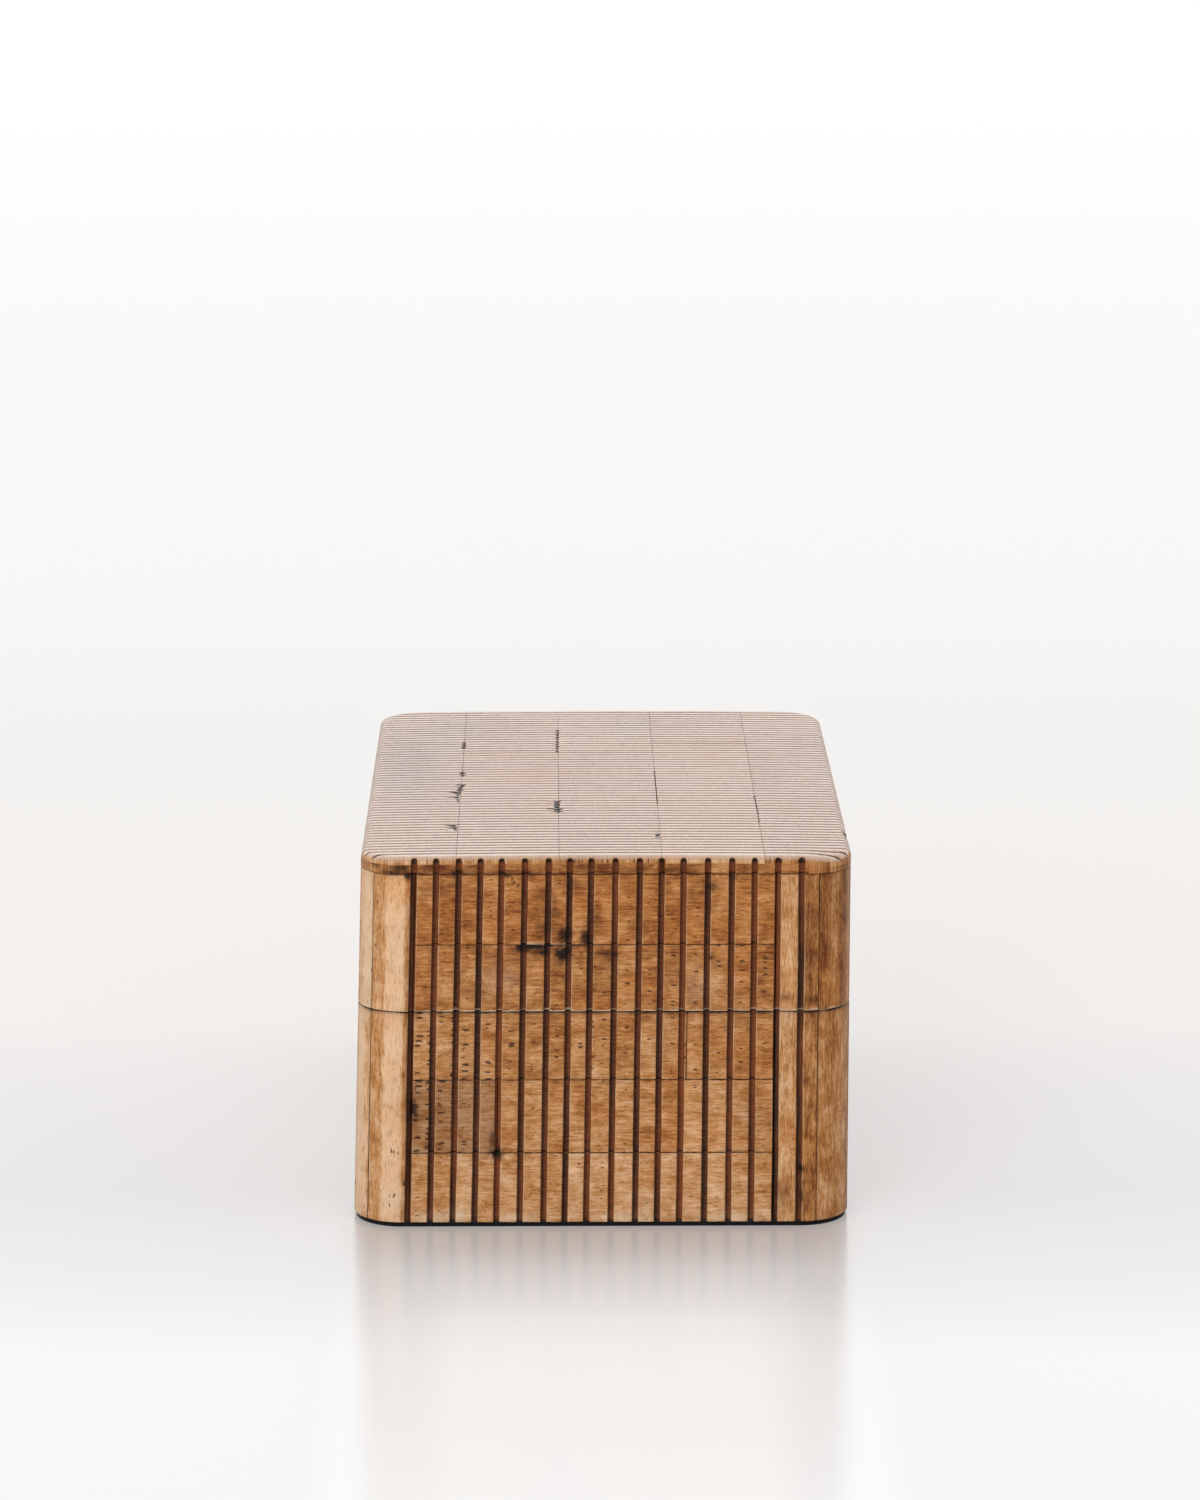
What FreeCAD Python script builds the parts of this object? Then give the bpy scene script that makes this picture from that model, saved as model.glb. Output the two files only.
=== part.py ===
import FreeCAD, Part
import math
import os
import Sketcher
from FreeCAD import Vector

# A reeded bone box with a lift-off lid. Millimetres, +Z up, the long way along Y.
# The origin is the middle of the underside, and the front end faces -Y.
# The box was glued up as one block, drawn in a little towards the top, and sawn apart at
# the split, so base and lid share one outer form: the blank below.

SIZES = (
    ("box_length", 178.0, "outside length at half height"),
    ("box_width", 127.0, "outside width at half height"),
    ("box_height", 98.2, "underside of the felt to the top of the slabs"),
    ("batter", 1.4, "how far each side leans in from foot to top"),
    ("corner_radius", 12.0, "upright corners, at half height"),
    ("edge_bevel", 1.5, "bevel of the top edge"),
    ("felt_thick", 1.2, "felt under the base"),
    ("felt_inset", 0.6, "felt edge behind the foot of the bone"),
    ("slab_thick", 4.8, "bone slabs on the lid top"),
    ("bone_thick", 4.0, "bone on the walls, where it is thinnest"),
    ("board_thick", 6.0, "wall boards"),
    ("core_bevel", 3.0, "planed corners of the wooden core"),
    ("floor_thick", 5.0, "bottom board"),
    ("top_board_thick", 5.5, "board under the top slabs"),
    ("split_height", 57.2, "where the lid meets the base"),
    ("lip_rise", 8.0, "how far the inner lip stands above the split"),
    ("lip_thick", 2.0, "inner lip boards"),
    ("lip_gap", 0.3, "running clearance between lip and lid, each side"),
    ("lip_chamfer", 0.8, "lead-in on the lip's outer top edge"),
    ("lining_thick", 1.0, "lining on the floor and under the lid"),
    ("joint_gap", 0.15, "glue line between two pieces of bone"),
    ("base_row_low", 18.6, "height of the lowest row of tiles on the ends"),
    ("base_row_mid", 19.4, "height of the row above it"),
    ("lid_row_low", 17.7, "height of the lid's lower row on the ends"),
    ("side_tile_length", 51.5, "length of a tile on the long sides"),
    ("strip_left", 4.7, "corner strip, seen from the end, left"),
    ("strip_right", 8.6, "corner strip, seen from the end, right"),
    ("strip_run", 12.5, "corner strip along the long side"),
    ("field_left", 49.2, "middle line to the left end of the long end tiles"),
    ("field_right", 43.8, "middle line to the right end of the long end tiles"),
    ("short_tile", 22.2, "length of the short tile in the base's middle row"),
    ("half_tile", 22.6, "cross joint of the base's top row, from field_right"),
    ("end_pitch", 5.87, "groove spacing on the ends"),
    ("end_shift", 0.4, "the end grooves, to the right of the middle line"),
    ("end_width", 1.45, "groove width on the ends"),
    ("end_depth", 1.5, "groove depth on the ends"),
    ("end_head", 0.8, "top edge down to the round heads of the end grooves"),
    ("end_margin", 13.0, "smooth corner zone on the ends, at least"),
    ("hand_bow", 1.0, "grooves near the middle drift this far to the left"),
    ("hand_wander", 0.36, "uneven spacing of the end grooves"),
    ("fine_pitch", 2.937, "groove spacing across the top and down the sides"),
    ("fine_width", 1.0, "groove width there"),
    ("fine_depth", 1.15, "groove depth there"),
    ("fine_margin", 3.7, "end of the box to the first cross groove, at least"),
    ("slab_width", 26.2, "width of the middle top slabs"),
    ("slab_shift", 1.0, "the slabs' centre line, to the right of the box's"),
    ("long_slab", 146.0, "length of the longest top slab"),
    ("slab_step", 11.5, "how much sooner the next columns' slabs end"),
)

OUTSIDE = 3.0
WANDER_STEPS = 4
HEAD_FLATS = 3

doc = FreeCAD.newDocument("reeded_box")
sheet = doc.addObject("Spreadsheet::Sheet", "Sizes")
for row, (alias, value, note) in enumerate(SIZES, start=1):
    sheet.set("A%d" % row, alias)
    sheet.set("B%d" % row, str(value))
    sheet.set("C%d" % row, note)
    sheet.setAlias("B%d" % row, alias)
doc.recompute()

size = {alias: float(sheet.get(alias)) for alias, value, note in SIZES}
parts = []


def cell(text):
    """Write every size's name in an expression as a reference to the sheet."""
    words = text.replace("(", " ( ").replace(")", " ) ").split()
    return " ".join("Sizes." + word if word in size else word for word in words)


def keep(node):
    """Count an object as a sub-part, to be written out."""
    parts.append(node)
    return node


# Outer form

def half_width(z):
    return size["box_width"] / 2 + size["batter"] * (0.5 - z / size["box_height"])


def half_length(z):
    return size["box_length"] / 2 + size["batter"] * (0.5 - z / size["box_height"])


def corner_at(z):
    return size["corner_radius"] + size["batter"] * (0.5 - z / size["box_height"])


def drawn_in(x, z):
    """A line on an end at x, at half height, leans in with the corners."""
    return x * half_width(z) / (size["box_width"] / 2)


def drawn_along(y, z):
    return y * half_length(z) / (size["box_length"] / 2)


def rounded_sketch(body, name, width, length, radius):
    """A rectangle with rounded corners about the origin, on the body's XY plane."""
    sketch = body.newObject("Sketcher::SketchObject", name)
    plane = [item for item in body.Origin.OriginFeatures if item.Role == "XY_Plane"][0]
    sketch.AttachmentSupport = [(plane, "")]
    sketch.MapMode = "FlatFace"
    wide, deep, round_off = 60.0, 90.0, 10.0
    corners = ((1, -1), (1, 1), (-1, 1), (-1, -1))
    for index, (sx, sy) in enumerate(corners):
        centre = Vector(sx * (wide - round_off), sy * (deep - round_off), 0)
        start = math.radians(-90 + 90 * index)
        circle = Part.Circle(centre, Vector(0, 0, 1), round_off)
        sketch.addGeometry(Part.ArcOfCircle(circle, start, start + math.pi / 2), False)
    ends = []
    for index in range(4):
        arc = sketch.Geometry[index]
        following = sketch.Geometry[(index + 1) % 4]
        ends.append((arc.EndPoint, following.StartPoint))
    for start, end in ends:
        sketch.addGeometry(Part.LineSegment(start, end), False)
    for index in range(4):
        sketch.addConstraint(Sketcher.Constraint("Tangent", index, 2, 4 + index, 1))
        sketch.addConstraint(Sketcher.Constraint("Tangent", 4 + index, 2, (index + 1) % 4, 1))
    for index in range(1, 4):
        sketch.addConstraint(Sketcher.Constraint("Equal", 0, index))
    for index in (4, 6):
        sketch.addConstraint(Sketcher.Constraint("Vertical", index))
        sketch.addConstraint(Sketcher.Constraint("Horizontal", index + 1))
    sketch.addConstraint(Sketcher.Constraint("Symmetric", 1, 3, 3, 3, -1, 1))
    sketch.addConstraint(Sketcher.Constraint("Radius", 0, round_off))
    sketch.renameConstraint(sketch.ConstraintCount - 1, "corner")
    sketch.addConstraint(Sketcher.Constraint("DistanceX", 3, 3, 0, 3, 2 * (wide - round_off)))
    sketch.renameConstraint(sketch.ConstraintCount - 1, "between_x")
    sketch.addConstraint(Sketcher.Constraint("DistanceY", 0, 3, 1, 3, 2 * (deep - round_off)))
    sketch.renameConstraint(sketch.ConstraintCount - 1, "between_y")
    sketch.setExpression("Constraints.corner", cell(radius))
    sketch.setExpression("Constraints.between_x", cell("%s - 2 * ( %s )" % (width, radius)))
    sketch.setExpression("Constraints.between_y", cell("%s - 2 * ( %s )" % (length, radius)))
    return sketch


def rounded_pad(name, width, length, radius, height):
    """A rounded rectangular plate or block standing on the XY plane."""
    body = doc.addObject("PartDesign::Body", name)
    sketch = rounded_sketch(body, name + "_outline", width, length, radius)
    pad = body.newObject("PartDesign::Pad", name + "_pad")
    pad.Profile = sketch
    pad.setExpression("Length", cell(height))
    return body, pad


blank, blank_pad = rounded_pad(
    "blank", "box_width + batter", "box_length + batter",
    "corner_radius + batter / 2", "box_height")
blank_pad.setExpression("TaperAngle", "-1 * atan( Sizes.batter / Sizes.box_height )")
doc.recompute()
top_edges = []
for number, edge in enumerate(blank_pad.Shape.Edges, start=1):
    if edge.BoundBox.ZMin > size["box_height"] - 1e-3:
        top_edges.append("Edge%d" % number)
eased = blank.newObject("PartDesign::Chamfer", "blank_top_edge")
eased.Base = (blank_pad, top_edges)
eased.setExpression("Size", "Sizes.edge_bevel")


# Wooden boards, linings and felt

CORE_X = "( ( box_width - batter ) / 2 - bone_thick )"
CORE_Y = "( ( box_length - batter ) / 2 - bone_thick )"
WELL_X = "( ( box_width - batter ) / 2 - bone_thick - board_thick )"
WELL_Y = "( ( box_length - batter ) / 2 - bone_thick - board_thick )"
TOP_BOARD_FOOT = "( box_height - slab_thick - top_board_thick )"
LIP_TOP = "( split_height + lip_rise )"


def block(name, x, y, z):
    """A board between two planes each way, each plane an expression in the sheet's names."""
    board = doc.addObject("Part::Box", name)
    for side, axis, (low, high) in zip(("Length", "Width", "Height"), "xyz", (x, y, z)):
        board.setExpression(side, cell("( %s ) - ( %s )" % (high, low)))
        board.setExpression("Placement.Base." + axis, cell(low))
    return board


core_block = block(
    "core_sawn", ("-1 * " + CORE_X, CORE_X), ("-1 * " + CORE_Y, CORE_Y),
    ("0", "box_height - slab_thick"))
doc.recompute()
core = doc.addObject("Part::Chamfer", "core")
core.Base = core_block
core.Edges = [
    (number, size["core_bevel"], size["core_bevel"])
    for number, edge in enumerate(core_block.Shape.Edges, start=1)
    if edge.BoundBox.ZLength > size["box_height"] / 2]
doc.recompute()


def cut_to_core(name, board):
    """A board whose outer corners are planed with the core."""
    shaped = doc.addObject("Part::Common", name)
    shaped.Base = board
    shaped.Tool = core
    return keep(shaped)


def wall_boards(prefix, low, high, slack):
    """Four boards: the end boards run full width, the side boards butt between them."""
    inner_x = "( %s + %s )" % (WELL_X, slack)
    inner_y = "( %s + %s )" % (WELL_Y, slack)
    ends = (("front", "-1 * " + CORE_Y, "-1 * " + inner_y), ("back", inner_y, CORE_Y))
    for side, near, far in ends:
        name = "%s_%s" % (prefix, side)
        board = block(name + "_sawn", ("-1 * " + CORE_X, CORE_X), (near, far), (low, high))
        cut_to_core(name + "_board", board)
    sides = (("left", "-1 * " + CORE_X, "-1 * " + inner_x), ("right", inner_x, CORE_X))
    for side, near, far in sides:
        name = "%s_%s_board" % (prefix, side)
        keep(block(name, (near, far), ("-1 * " + inner_y, inner_y), (low, high)))


def lip_boards():
    """Four thin boards inside the base; the lid drops over what stands above the split."""
    inner_x = "( %s - lip_thick )" % WELL_X
    inner_y = "( %s - lip_thick )" % WELL_Y
    rise = ("felt_thick + floor_thick", LIP_TOP)
    places = (
        ("front", ("-1 * " + WELL_X, WELL_X), ("-1 * " + WELL_Y, "-1 * " + inner_y), "y", -1),
        ("back", ("-1 * " + WELL_X, WELL_X), (inner_y, WELL_Y), "y", 1),
        ("left", ("-1 * " + WELL_X, "-1 * " + inner_x), ("-1 * " + inner_y, inner_y), "x", -1),
        ("right", (inner_x, WELL_X), ("-1 * " + inner_y, inner_y), "x", 1),
    )
    for side, x, y, axis, outward in places:
        board = block("lip_%s_sawn" % side, x, y, rise)
        doc.recompute()
        lead_in = doc.addObject("Part::Chamfer", "base_lip_%s" % side)
        lead_in.Base = board
        edge = outer_top_edge(board.Shape, axis, outward)
        lead_in.Edges = [(edge, size["lip_chamfer"], size["lip_chamfer"])]
        keep(lead_in)


def outer_top_edge(shape, axis, outward):
    """The number of a board's top edge on its outer side."""
    best = None
    for number, edge in enumerate(shape.Edges, start=1):
        box = edge.BoundBox
        level = box.ZMin > shape.BoundBox.ZMax - 1e-6
        across = (box.YLength if axis == "y" else box.XLength) < 1e-6
        place = outward * (box.YMin if axis == "y" else box.XMin)
        if level and across and (best is None or place > best[0]):
            best = (place, number)
    return best[1]


keep(rounded_pad(
    "base_felt", "box_width + batter - 2 * felt_inset", "box_length + batter - 2 * felt_inset",
    "corner_radius + batter / 2 - felt_inset", "felt_thick")[0])
wall_boards("base", "felt_thick", "split_height", "0")
keep(block(
    "base_bottom_board", ("-1 * " + WELL_X, WELL_X), ("-1 * " + WELL_Y, WELL_Y),
    ("felt_thick", "felt_thick + floor_thick")))
lip_boards()
LINED_X = "( %s - lip_thick )" % WELL_X
LINED_Y = "( %s - lip_thick )" % WELL_Y
keep(block(
    "base_floor_lining", ("-1 * " + LINED_X, LINED_X), ("-1 * " + LINED_Y, LINED_Y),
    ("felt_thick + floor_thick", "felt_thick + floor_thick + lining_thick")))

wall_boards("lid", "split_height", TOP_BOARD_FOOT, "lip_gap")
top_board = block(
    "lid_top_sawn", ("-1 * " + CORE_X, CORE_X), ("-1 * " + CORE_Y, CORE_Y),
    (TOP_BOARD_FOOT, "box_height - slab_thick"))
cut_to_core("lid_top_board", top_board)
LID_WELL_X = "( %s + lip_gap )" % WELL_X
LID_WELL_Y = "( %s + lip_gap )" % WELL_Y
keep(block(
    "lid_lining", ("-1 * " + LID_WELL_X, LID_WELL_X), ("-1 * " + LID_WELL_Y, LID_WELL_Y),
    (TOP_BOARD_FOOT + " - lining_thick", TOP_BOARD_FOOT)))
doc.recompute()


# Grooves

def planar_solid(lower, upper):
    """A solid with flat faces between two matching loops of points."""
    faces = []
    for loop in (lower, upper):
        faces.append(Part.Face(Part.makePolygon(loop + loop[:1])))
    count = len(lower)
    for index in range(count):
        after = (index + 1) % count
        side = [lower[index], lower[after], upper[after], upper[index], lower[index]]
        faces.append(Part.Face(Part.makePolygon(side)))
    solid = Part.Solid(Part.Shell(faces))
    if solid.Volume < 0:
        solid.reverse()
    return solid


def end_groove_places():
    """Middle lines of the end grooves at half height, spaced by eye as the maker did."""
    field = size["box_width"] - 2 * size["end_margin"]
    count = int(field / size["end_pitch"]) + 1
    places = []
    for index in range(count):
        along = index / max(count - 1, 1)
        even = (index - (count - 1) / 2) * size["end_pitch"]
        drift = size["hand_bow"] * math.sin(math.pi * along)
        wander = size["hand_wander"] * math.cos(2 * math.pi * index / WANDER_STEPS)
        places.append(size["end_shift"] + even - drift - wander * math.sin(math.pi * along))
    return places


def fine_groove_places():
    """Middle lines of the cross grooves along the box, at half height."""
    field = size["box_length"] - 2 * size["fine_margin"]
    count = int(field / size["fine_pitch"]) + 1
    return [(index - (count - 1) / 2) * size["fine_pitch"] for index in range(count)]


def end_cutter(x, low, high, facing):
    """A flat-bottomed groove in an end, leaning with it."""
    half = size["end_width"] / 2
    loops = []
    for z in (low, high):
        middle = drawn_in(x, z)
        floor = facing * (half_length(z) - size["end_depth"])
        open_air = facing * (half_length(z) + OUTSIDE)
        loops.append([
            Vector(middle - half, floor, z), Vector(middle + half, floor, z),
            Vector(middle + half, open_air, z), Vector(middle - half, open_air, z)])
    return planar_solid(*loops)


def head_cutter(x, low, high, facing):
    """The top of an end groove, which stops in a round head below the top edge."""
    half = size["end_width"] / 2
    middle = drawn_in(x, high)
    outline = [(-half, low), (half, low)]
    for step in range(HEAD_FLATS + 1):
        turn = math.pi * step / HEAD_FLATS
        outline.append((half * math.cos(turn), high - half + half * math.sin(turn)))
    loops = []
    for reach in (-size["end_depth"], OUTSIDE):
        depth = facing * (half_length(high) + reach)
        loops.append([Vector(middle + across, depth, z) for across, z in outline])
    return planar_solid(*loops)


def outline_at(y, z):
    """Half width of the blank at a place along it, corner rounding included."""
    radius = corner_at(z)
    into_corner = abs(y) - (half_length(z) - radius)
    if into_corner <= 0:
        return half_width(z)
    return half_width(z) - radius + math.sqrt(max(radius ** 2 - into_corner ** 2, 0))


def vee(depth, spread):
    """Half width of a vee groove at a height above its bottom."""
    return size["fine_width"] / 2 * spread / depth


def side_cutter(y, low, high, facing):
    """A vee groove down a long side, following its lean and the rounded corner."""
    depth = size["fine_depth"]
    loops = []
    for z in (low, high):
        along = drawn_along(y, z)
        bottom = outline_at(along, z) - depth
        mouth = vee(depth, depth + OUTSIDE)
        loops.append([
            Vector(facing * bottom, along, z),
            Vector(facing * (bottom + depth + OUTSIDE), along - mouth, z),
            Vector(facing * (bottom + depth + OUTSIDE), along + mouth, z)])
    return planar_solid(*loops)


def top_cutter(y):
    """A vee groove straight across the top."""
    top = size["box_height"]
    along = drawn_along(y, top)
    mouth = vee(size["fine_depth"], size["fine_depth"] + OUTSIDE)
    reach = half_width(top) + OUTSIDE
    loops = []
    for x in (-reach, reach):
        loops.append([
            Vector(x, along, top - size["fine_depth"]),
            Vector(x, along - mouth, top + OUTSIDE),
            Vector(x, along + mouth, top + OUTSIDE)])
    return planar_solid(*loops)


END_GROOVES = end_groove_places()
FINE_GROOVES = fine_groove_places()
SIDE_GROOVES = FINE_GROOVES[2:-2]
GROOVE_TOP = size["box_height"] - size["end_head"]
SLAB_FOOT = size["box_height"] - size["slab_thick"]


# Bone tiles

def leaning_cell(x, y, z):
    """The space of one tile: its upright joints lean in with the box."""
    loops = []
    for level in z:
        left, right = [drawn_in(value, level) for value in x]
        near, far = [drawn_along(value, level) for value in y]
        loops.append([
            Vector(left, near, level), Vector(right, near, level),
            Vector(right, far, level), Vector(left, far, level)])
    return planar_solid(*loops)


def crosses(cutter, tile):
    return cutter.BoundBox.intersect(tile.BoundBox)


def carve(space, cutters, around=None):
    """Cut one tile from the blank: fit it to its space and to the core, then groove it."""
    tile = blank.Shape.common(space)
    if around is not None:
        tile = tile.cut(around)
    tools = [cutter for cutter in cutters if crosses(cutter, tile)]
    if tools:
        tile = tile.cut(tools)
    return list(tile.Solids)


def spans(edges):
    """Neighbouring pairs of joints, each drawn back by half a glue line."""
    back = size["joint_gap"] / 2
    return [(low + back, high - back) for low, high in zip(edges[:-1], edges[1:])]


def rows(levels):
    """Rows of tiles between levels; only the joints inside the stack have a glue line."""
    back = size["joint_gap"] / 2
    result = []
    for index, (low, high) in enumerate(zip(levels[:-1], levels[1:])):
        low_gap = back if index > 0 else 0
        high_gap = back if index < len(levels) - 2 else 0
        result.append((low + low_gap, high - high_gap))
    return result


def bone_node(name, solids):
    node = doc.addObject("Part::Feature", name)
    node.Shape = Part.makeCompound(solids)
    return keep(node)


BASE_FOOT = size["felt_thick"]
SPLIT = size["split_height"]
LOW_JOINT = BASE_FOOT + size["base_row_low"]
MID_JOINT = LOW_JOINT + size["base_row_mid"]
LID_JOINT = SPLIT + size["lid_row_low"]
BASE_LEVELS = (BASE_FOOT, LOW_JOINT, MID_JOINT, SPLIT)
LID_LEVELS = (SPLIT, LID_JOINT, SLAB_FOOT - size["joint_gap"])
UPRIGHT_BASE = (BASE_FOOT, SPLIT)
UPRIGHT_LID = (SPLIT, SLAB_FOOT - size["joint_gap"])

END_X = size["box_width"] / 2
END_Y = size["box_length"] / 2
STRIP_LEFT = -END_X + size["strip_left"]
STRIP_RIGHT = END_X - size["strip_right"]
STRIP_Y = END_Y - size["strip_run"]
TILE_Y = END_Y - size["batter"] / 2 - size["bone_thick"] - size["core_bevel"]
FIELD_LEFT = -size["field_left"]
FIELD_RIGHT = size["field_right"]


def field_joints(row, lid):
    """Upright joints in one row of the field, from left to right as seen from that end."""
    joints = [FIELD_LEFT, FIELD_RIGHT]
    if not lid and row == 1:
        joints.insert(1, FIELD_LEFT + size["short_tile"])
    if not lid and row == 2:
        joints.insert(1, FIELD_RIGHT - size["half_tile"])
    return joints


def end_places(levels, lid):
    """Places of the tiles on one end: two upright border strips, then the field's rows."""
    field = spans([STRIP_LEFT, FIELD_LEFT, FIELD_RIGHT, STRIP_RIGHT])
    upright = (levels[0], levels[-1])
    places = [(field[0], upright), (field[2], upright)]
    for row, z in enumerate(rows(levels)):
        places += [(x, z) for x in spans(field_joints(row, lid))]
    return places


def end_tiles(lid, facing):
    """All tiles on one end. The back end is the front one turned round."""
    levels = LID_LEVELS if lid else BASE_LEVELS
    cutters = []
    for x in END_GROOVES:
        cutters.append(end_cutter(-facing * x, levels[0] - OUTSIDE, levels[-1] + OUTSIDE, facing))
    solids = []
    for (low, high), z in end_places(levels, lid):
        x = sorted((-facing * low, -facing * high))
        y = sorted((facing * TILE_Y, facing * (END_Y + OUTSIDE)))
        solids += carve(leaning_cell(x, y, z), cutters, core.Shape)
    return solids


def side_tiles(lid, facing):
    """Upright tiles along one long side, between the corner strips."""
    z = UPRIGHT_LID if lid else UPRIGHT_BASE
    cutters = [side_cutter(y, z[0] - OUTSIDE, z[1] + OUTSIDE, facing) for y in SIDE_GROOVES]
    count = max(int(round(2 * STRIP_Y / size["side_tile_length"])), 1)
    joints = [STRIP_Y * (2 * index / count - 1) for index in range(count + 1)]
    solids = []
    for y in spans(joints):
        x = sorted((facing * END_X / 2, facing * (END_X + OUTSIDE)))
        solids += carve(leaning_cell(x, y, z), cutters, core.Shape)
    return solids


def corner_strips(lid):
    """Strips that turn the four corners, with the grain upright, each in one piece."""
    z = UPRIGHT_LID if lid else UPRIGHT_BASE
    back = size["joint_gap"] / 2
    solids = []
    for facing in (-1, 1):
        for start, side in ((STRIP_LEFT, -1), (STRIP_RIGHT, 1)):
            x = sorted((-facing * (start + side * back), -facing * side * (END_X + OUTSIDE)))
            y = sorted((facing * (STRIP_Y + back), facing * (END_Y + OUTSIDE)))
            outward = -facing * side
            cutters = []
            for place in SIDE_GROOVES:
                if place * facing > STRIP_Y - OUTSIDE:
                    cutters.append(side_cutter(place, z[0] - OUTSIDE, z[1] + OUTSIDE, outward))
            solids += carve(leaning_cell(x, y, z), cutters, core.Shape)
    return solids


def top_slabs():
    """Five columns of slabs, each of a long and a short slab, grooved across."""
    foot, top = SLAB_FOOT, size["box_height"]
    cutters = [top_cutter(y) for y in FINE_GROOVES]
    for facing in (-1, 1):
        cutters += [side_cutter(y, foot - OUTSIDE, top + OUTSIDE, facing) for y in SIDE_GROOVES]
        cutters += [head_cutter(-facing * x, foot - OUTSIDE, GROOVE_TOP, facing) for x in END_GROOVES]
    middle = size["slab_shift"]
    joints = [middle + size["slab_width"] * step for step in (-1.5, -0.5, 0.5, 1.5)]
    joints = [-END_X - OUTSIDE] + joints + [END_X + OUTSIDE]
    cross_joints = [size["long_slab"] - size["slab_step"] * step for step in (1, 2, 2, 1, 0)]
    solids = []
    for x, length in zip(spans(joints), cross_joints):
        seats = [-END_Y - OUTSIDE, -END_Y + length, END_Y + OUTSIDE]
        for y in spans(seats):
            solids += carve(leaning_cell(x, y, (foot, top + OUTSIDE)), cutters)
    return solids


for lid, body in ((False, "base"), (True, "lid")):
    bone_node(body + "_front_tiles", end_tiles(lid, -1))
    bone_node(body + "_back_tiles", end_tiles(lid, 1))
    bone_node(body + "_left_tiles", side_tiles(lid, -1))
    bone_node(body + "_right_tiles", side_tiles(lid, 1))
    bone_node(body + "_corner_strips", corner_strips(lid))
bone_node("lid_top_slabs", top_slabs())
doc.recompute()


# Check every object, then write each sub-part

for item in doc.Objects:
    if "Invalid" in item.State or "Error" in item.State:
        raise RuntimeError("%s failed: %s" % (item.Label, item.State))

os.makedirs("parts", exist_ok=True)
for node in parts:
    shape = node.Shape
    if shape.isNull() or not shape.isValid() or not shape.Solids:
        raise RuntimeError("%s has no valid shape" % node.Label)
for node in parts:
    node.Shape.exportStep("parts/%s.step" % node.Label)
    print("%-22s %3d solids %10.1f mm3" % (node.Label, len(node.Shape.Solids), node.Shape.Volume))
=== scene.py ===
import math

import bmesh
import bpy
import numpy as np
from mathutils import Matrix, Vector


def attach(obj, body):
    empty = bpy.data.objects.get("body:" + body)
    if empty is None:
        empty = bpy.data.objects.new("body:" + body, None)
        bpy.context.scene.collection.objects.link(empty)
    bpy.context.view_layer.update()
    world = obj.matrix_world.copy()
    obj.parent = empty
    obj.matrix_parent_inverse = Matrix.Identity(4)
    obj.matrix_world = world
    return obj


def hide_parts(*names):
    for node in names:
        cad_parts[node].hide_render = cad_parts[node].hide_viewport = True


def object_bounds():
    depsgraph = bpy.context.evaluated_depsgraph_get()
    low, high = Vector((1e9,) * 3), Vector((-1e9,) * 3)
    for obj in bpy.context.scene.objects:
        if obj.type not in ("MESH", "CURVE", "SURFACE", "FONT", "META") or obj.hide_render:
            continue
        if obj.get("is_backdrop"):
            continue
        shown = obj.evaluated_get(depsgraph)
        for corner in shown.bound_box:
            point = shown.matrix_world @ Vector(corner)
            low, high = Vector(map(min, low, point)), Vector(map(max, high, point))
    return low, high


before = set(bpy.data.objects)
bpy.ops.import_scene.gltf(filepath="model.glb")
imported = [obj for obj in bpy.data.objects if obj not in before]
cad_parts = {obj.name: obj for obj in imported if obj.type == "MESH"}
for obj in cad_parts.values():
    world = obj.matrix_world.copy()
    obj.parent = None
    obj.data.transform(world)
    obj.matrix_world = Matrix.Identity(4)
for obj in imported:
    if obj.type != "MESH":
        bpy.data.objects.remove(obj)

low_corner, high_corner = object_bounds()


# Sizes in millimetres, the construction's own unless a comment says otherwise

MM = 0.001
BOX_LENGTH = 178.0
BOX_WIDTH = 127.0
BOX_HEIGHT = high_corner.z / MM
BATTER = 1.4
CORNER_RADIUS = 12.0
SPLIT = 57.2
FELT_THICK = 1.2
SLAB_FOOT = BOX_HEIGHT - 4.8
LOW_JOINT = FELT_THICK + 18.6
MID_JOINT = LOW_JOINT + 19.4
LID_JOINT = SPLIT + 17.7
JOINT_GAP = 0.15
CORE_X = 58.8
CORE_Y = 84.3
CORE_BEVEL = 3.0
BACK_GAP = 0.05
PLAY = 0.02
FACE_DROP = 0.05

CORNER_X = BOX_WIDTH / 2 - CORNER_RADIUS
CORNER_Y = BOX_LENGTH / 2 - CORNER_RADIUS

# This joint stands at -58.8 in the construction; here it follows the photograph
STRIP_LEFT = -59.9
STRIP_RIGHT = 54.9
STRIP_Y = 76.5
FIELD_LEFT = -49.2
FIELD_RIGHT = 43.8
SHORT_TILE = 22.2
HALF_TILE = 22.6

END_COUNT = 18
END_PITCH = 5.87
END_SHIFT = 0.4
END_DEPTH = 1.5
HAND_BOW = 1.0
HAND_WANDER = 0.36
GROOVE_TOP = 97.4
HEAD_RADIUS = 0.73

FINE_COUNT = 59
FINE_PITCH = 2.937
FINE_DEPTH = 1.12

SLAB_JOINTS = (-38.3, -12.1, 14.1, 40.3)
CROSS_JOINTS = (45.5, 34.0, 34.0, 45.5, 57.0)
CROWN = 0.35
CROWN_REACH = 53.0
TOP_ROUND = 1.8

# The cladding stands this much further right at the top than at the foot
LEAN = 1.4

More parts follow.
